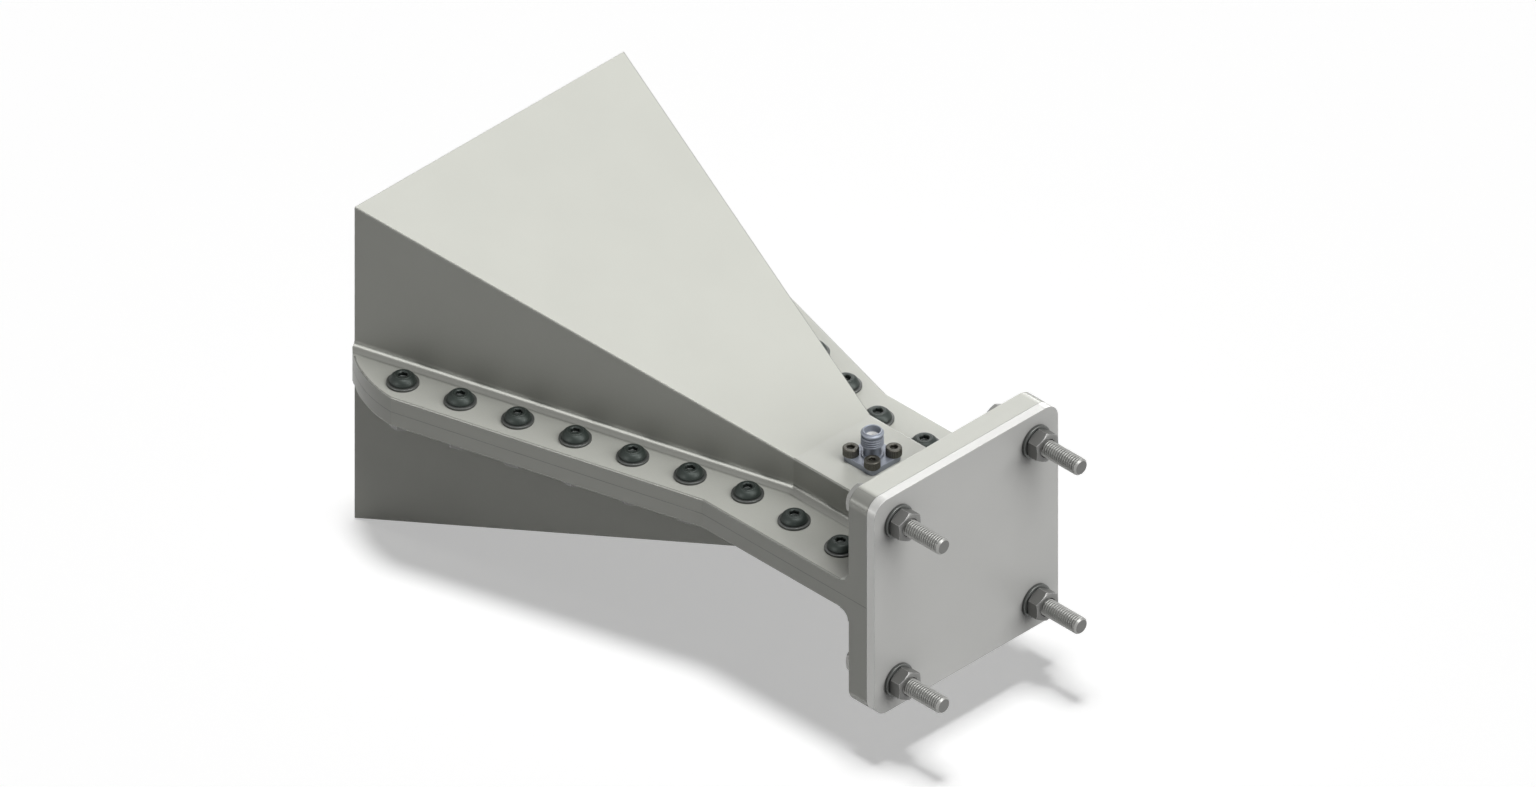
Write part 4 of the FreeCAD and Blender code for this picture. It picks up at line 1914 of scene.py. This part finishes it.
@dataclass(frozen=True)
class Studio:
    """Floor, lamps, sky and camera.

    Attributes:
        floor_height: Height of the floor, under the lowest edge of the mouth.
        floor_side: Length of the floor's sides.
        floor_glow: Light that the floor shows of itself to the camera.
        floor_white: The floor's colour where light falls on it, as the camera sees it.
        floor_bounce: The floor's colour as it lights the object.
        sky_zenith: Brightness of the sky overhead.
        sky_horizon: Brightness of the sky at the horizon.
        sky_share: Share of the sky's brightness that lights the object.
        lamps: The lamps.
        image_width: Width of the picture in pixels.
        pixels_per_metre: Scale of the picture.
        centre_right: Way from the mouth's centre to the middle of the picture, to the right.
        centre_down: The same, downwards.
        distance: Distance of the camera.
        sight: How far the camera sees.
    """

    floor_height: float
    floor_side: float = 6.0
    floor_glow: float = 0.432
    floor_white: float = 0.84
    floor_bounce: float = 0.32
    sky_zenith: float = 1.10
    sky_horizon: float = 0.80
    sky_share: float = 0.02
    lamps: tuple[Lamp, ...] = (
        Lamp("floor_lamp", 0.0, 90.0, 2.03, 12.0, Reach.FLOOR),
        Lamp("ceiling_lamp", 180.0, 78.0, 1.42, 30.0),
        Lamp("rear_softbox", 194.0, 40.0, 1.25, 35.0),
        Lamp("rear_window", 204.0, 15.0, 1.20, 25.0),
        Lamp("front_window", -45.0, 15.0, 0.75, 25.0),
        Lamp("left_strip", 81.0, 21.0, 0.62, 22.0, sheen_only=True),
        Lamp("corner_strip", 54.0, 9.0, 0.12, 14.0),
    )
    image_width: int = 1536
    pixels_per_metre: float = 3711.0
    centre_right: float = 75.06 * MM
    centre_down: float = 29.30 * MM
    distance: float = 1.2
    sight: float = 10.0

    def lay_floor(self) -> bpy.types.Object:
        """Lays the floor. The camera and mirrors see it white with the shadow, and it bounces little light.

        Returns:
            The floor.
        """
        Bench.clear()
        bpy.ops.mesh.primitive_plane_add(size=self.floor_side, location=(0, 0, self.floor_height))
        floor = bpy.context.object
        floor.name = "floor"
        sheet = ShaderSheet("pale_floor")
        tree = sheet.tree
        tree.nodes.remove(sheet.shader)
        seen = tree.nodes.new("ShaderNodeAddShader")
        glow = tree.nodes.new("ShaderNodeEmission")
        glow.inputs["Strength"].default_value = self.floor_glow
        lit = tree.nodes.new("ShaderNodeBsdfDiffuse")
        lit.inputs["Color"].default_value = scaled(WHITE, self.floor_white)
        sheet.join(glow.outputs["Emission"], seen.inputs[0])
        sheet.join(lit.outputs["BSDF"], seen.inputs[1])
        bounce = tree.nodes.new("ShaderNodeBsdfDiffuse")
        bounce.inputs["Color"].default_value = scaled(WHITE, self.floor_bounce)
        mix = tree.nodes.new("ShaderNodeMixShader")
        sheet.join(sheet.seen_directly(), mix.inputs["Fac"])
        sheet.join(bounce.outputs["BSDF"], mix.inputs[1])
        sheet.join(seen.outputs["Shader"], mix.inputs[2])
        sheet.join(mix.outputs["Shader"], sheet.output.inputs["Surface"])
        floor.data.materials.append(sheet.material)
        floor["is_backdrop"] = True
        return floor

    def raise_sky(self) -> None:
        """Makes a sky that is brighter overhead and shows white to the camera."""
        world = bpy.data.worlds.new("studio_sky")
        bpy.context.scene.world = world
        world.use_nodes = True
        sheet = NodeSheet(world.node_tree, "ShaderNodeOutputWorld")
        background = sheet.tree.nodes.new("ShaderNodeBackground")
        place = sheet.tree.nodes.new("ShaderNodeTexCoord").outputs["Generated"]
        height = sheet.ranged(sheet.split(place)[2], (0.0, 1.0), (self.sky_horizon, self.sky_zenith))
        share = sheet.ranged(sheet.seen_directly(), (0.0, 1.0), (self.sky_share, 1.0))
        sheet.join(sheet.worked_out("MULTIPLY", height, share), background.inputs["Strength"])
        sheet.join(background.outputs["Background"], sheet.output.inputs["Surface"])

    def place_camera(self) -> None:
        """Places the camera of the photograph, which looks along a cube's diagonal without perspective."""
        back = Vector((-1, 1, 1)).normalized()
        right = Vector((-1, -1, 0)).normalized()
        up = back.cross(right)
        lens = bpy.data.cameras.new("camera")
        lens.type = "ORTHO"
        lens.ortho_scale = self.image_width / self.pixels_per_metre
        lens.clip_end = self.sight
        camera = bpy.data.objects.new("camera", lens)
        bpy.context.scene.collection.objects.link(camera)
        aim = right * self.centre_right - up * self.centre_down
        camera.rotation_mode = "QUATERNION"
        camera.rotation_quaternion = (-back).to_track_quat("-Z", "Y")
        camera.location = aim + back * self.distance
        bpy.context.scene.camera = camera

    def build(self) -> None:
        """Sets up the whole studio."""
        floor = self.lay_floor()
        self.raise_sky()
        for lamp in self.lamps:
            lamp.hang(floor)
        self.place_camera()
        bpy.context.scene.view_settings.view_transform = "Standard"
        LOG.info("studio: floor at %.4f m", self.floor_height)


def main() -> None:
    """Loads the frame, builds and dresses the pieces and sets up the studio."""
    logging.basicConfig(level=logging.INFO, format="%(name)s: %(message)s")
    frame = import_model()
    cad_low, cad_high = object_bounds()
    shelf = FinishShelf()
    HornShell().build(frame, shelf)
    SeamJoint().build(shelf)
    RearJoint().build(shelf)
    CoaxialJack().build(shelf)
    Studio(floor_height=cad_low.z).build()


if __name__ == "__main__":
    main()
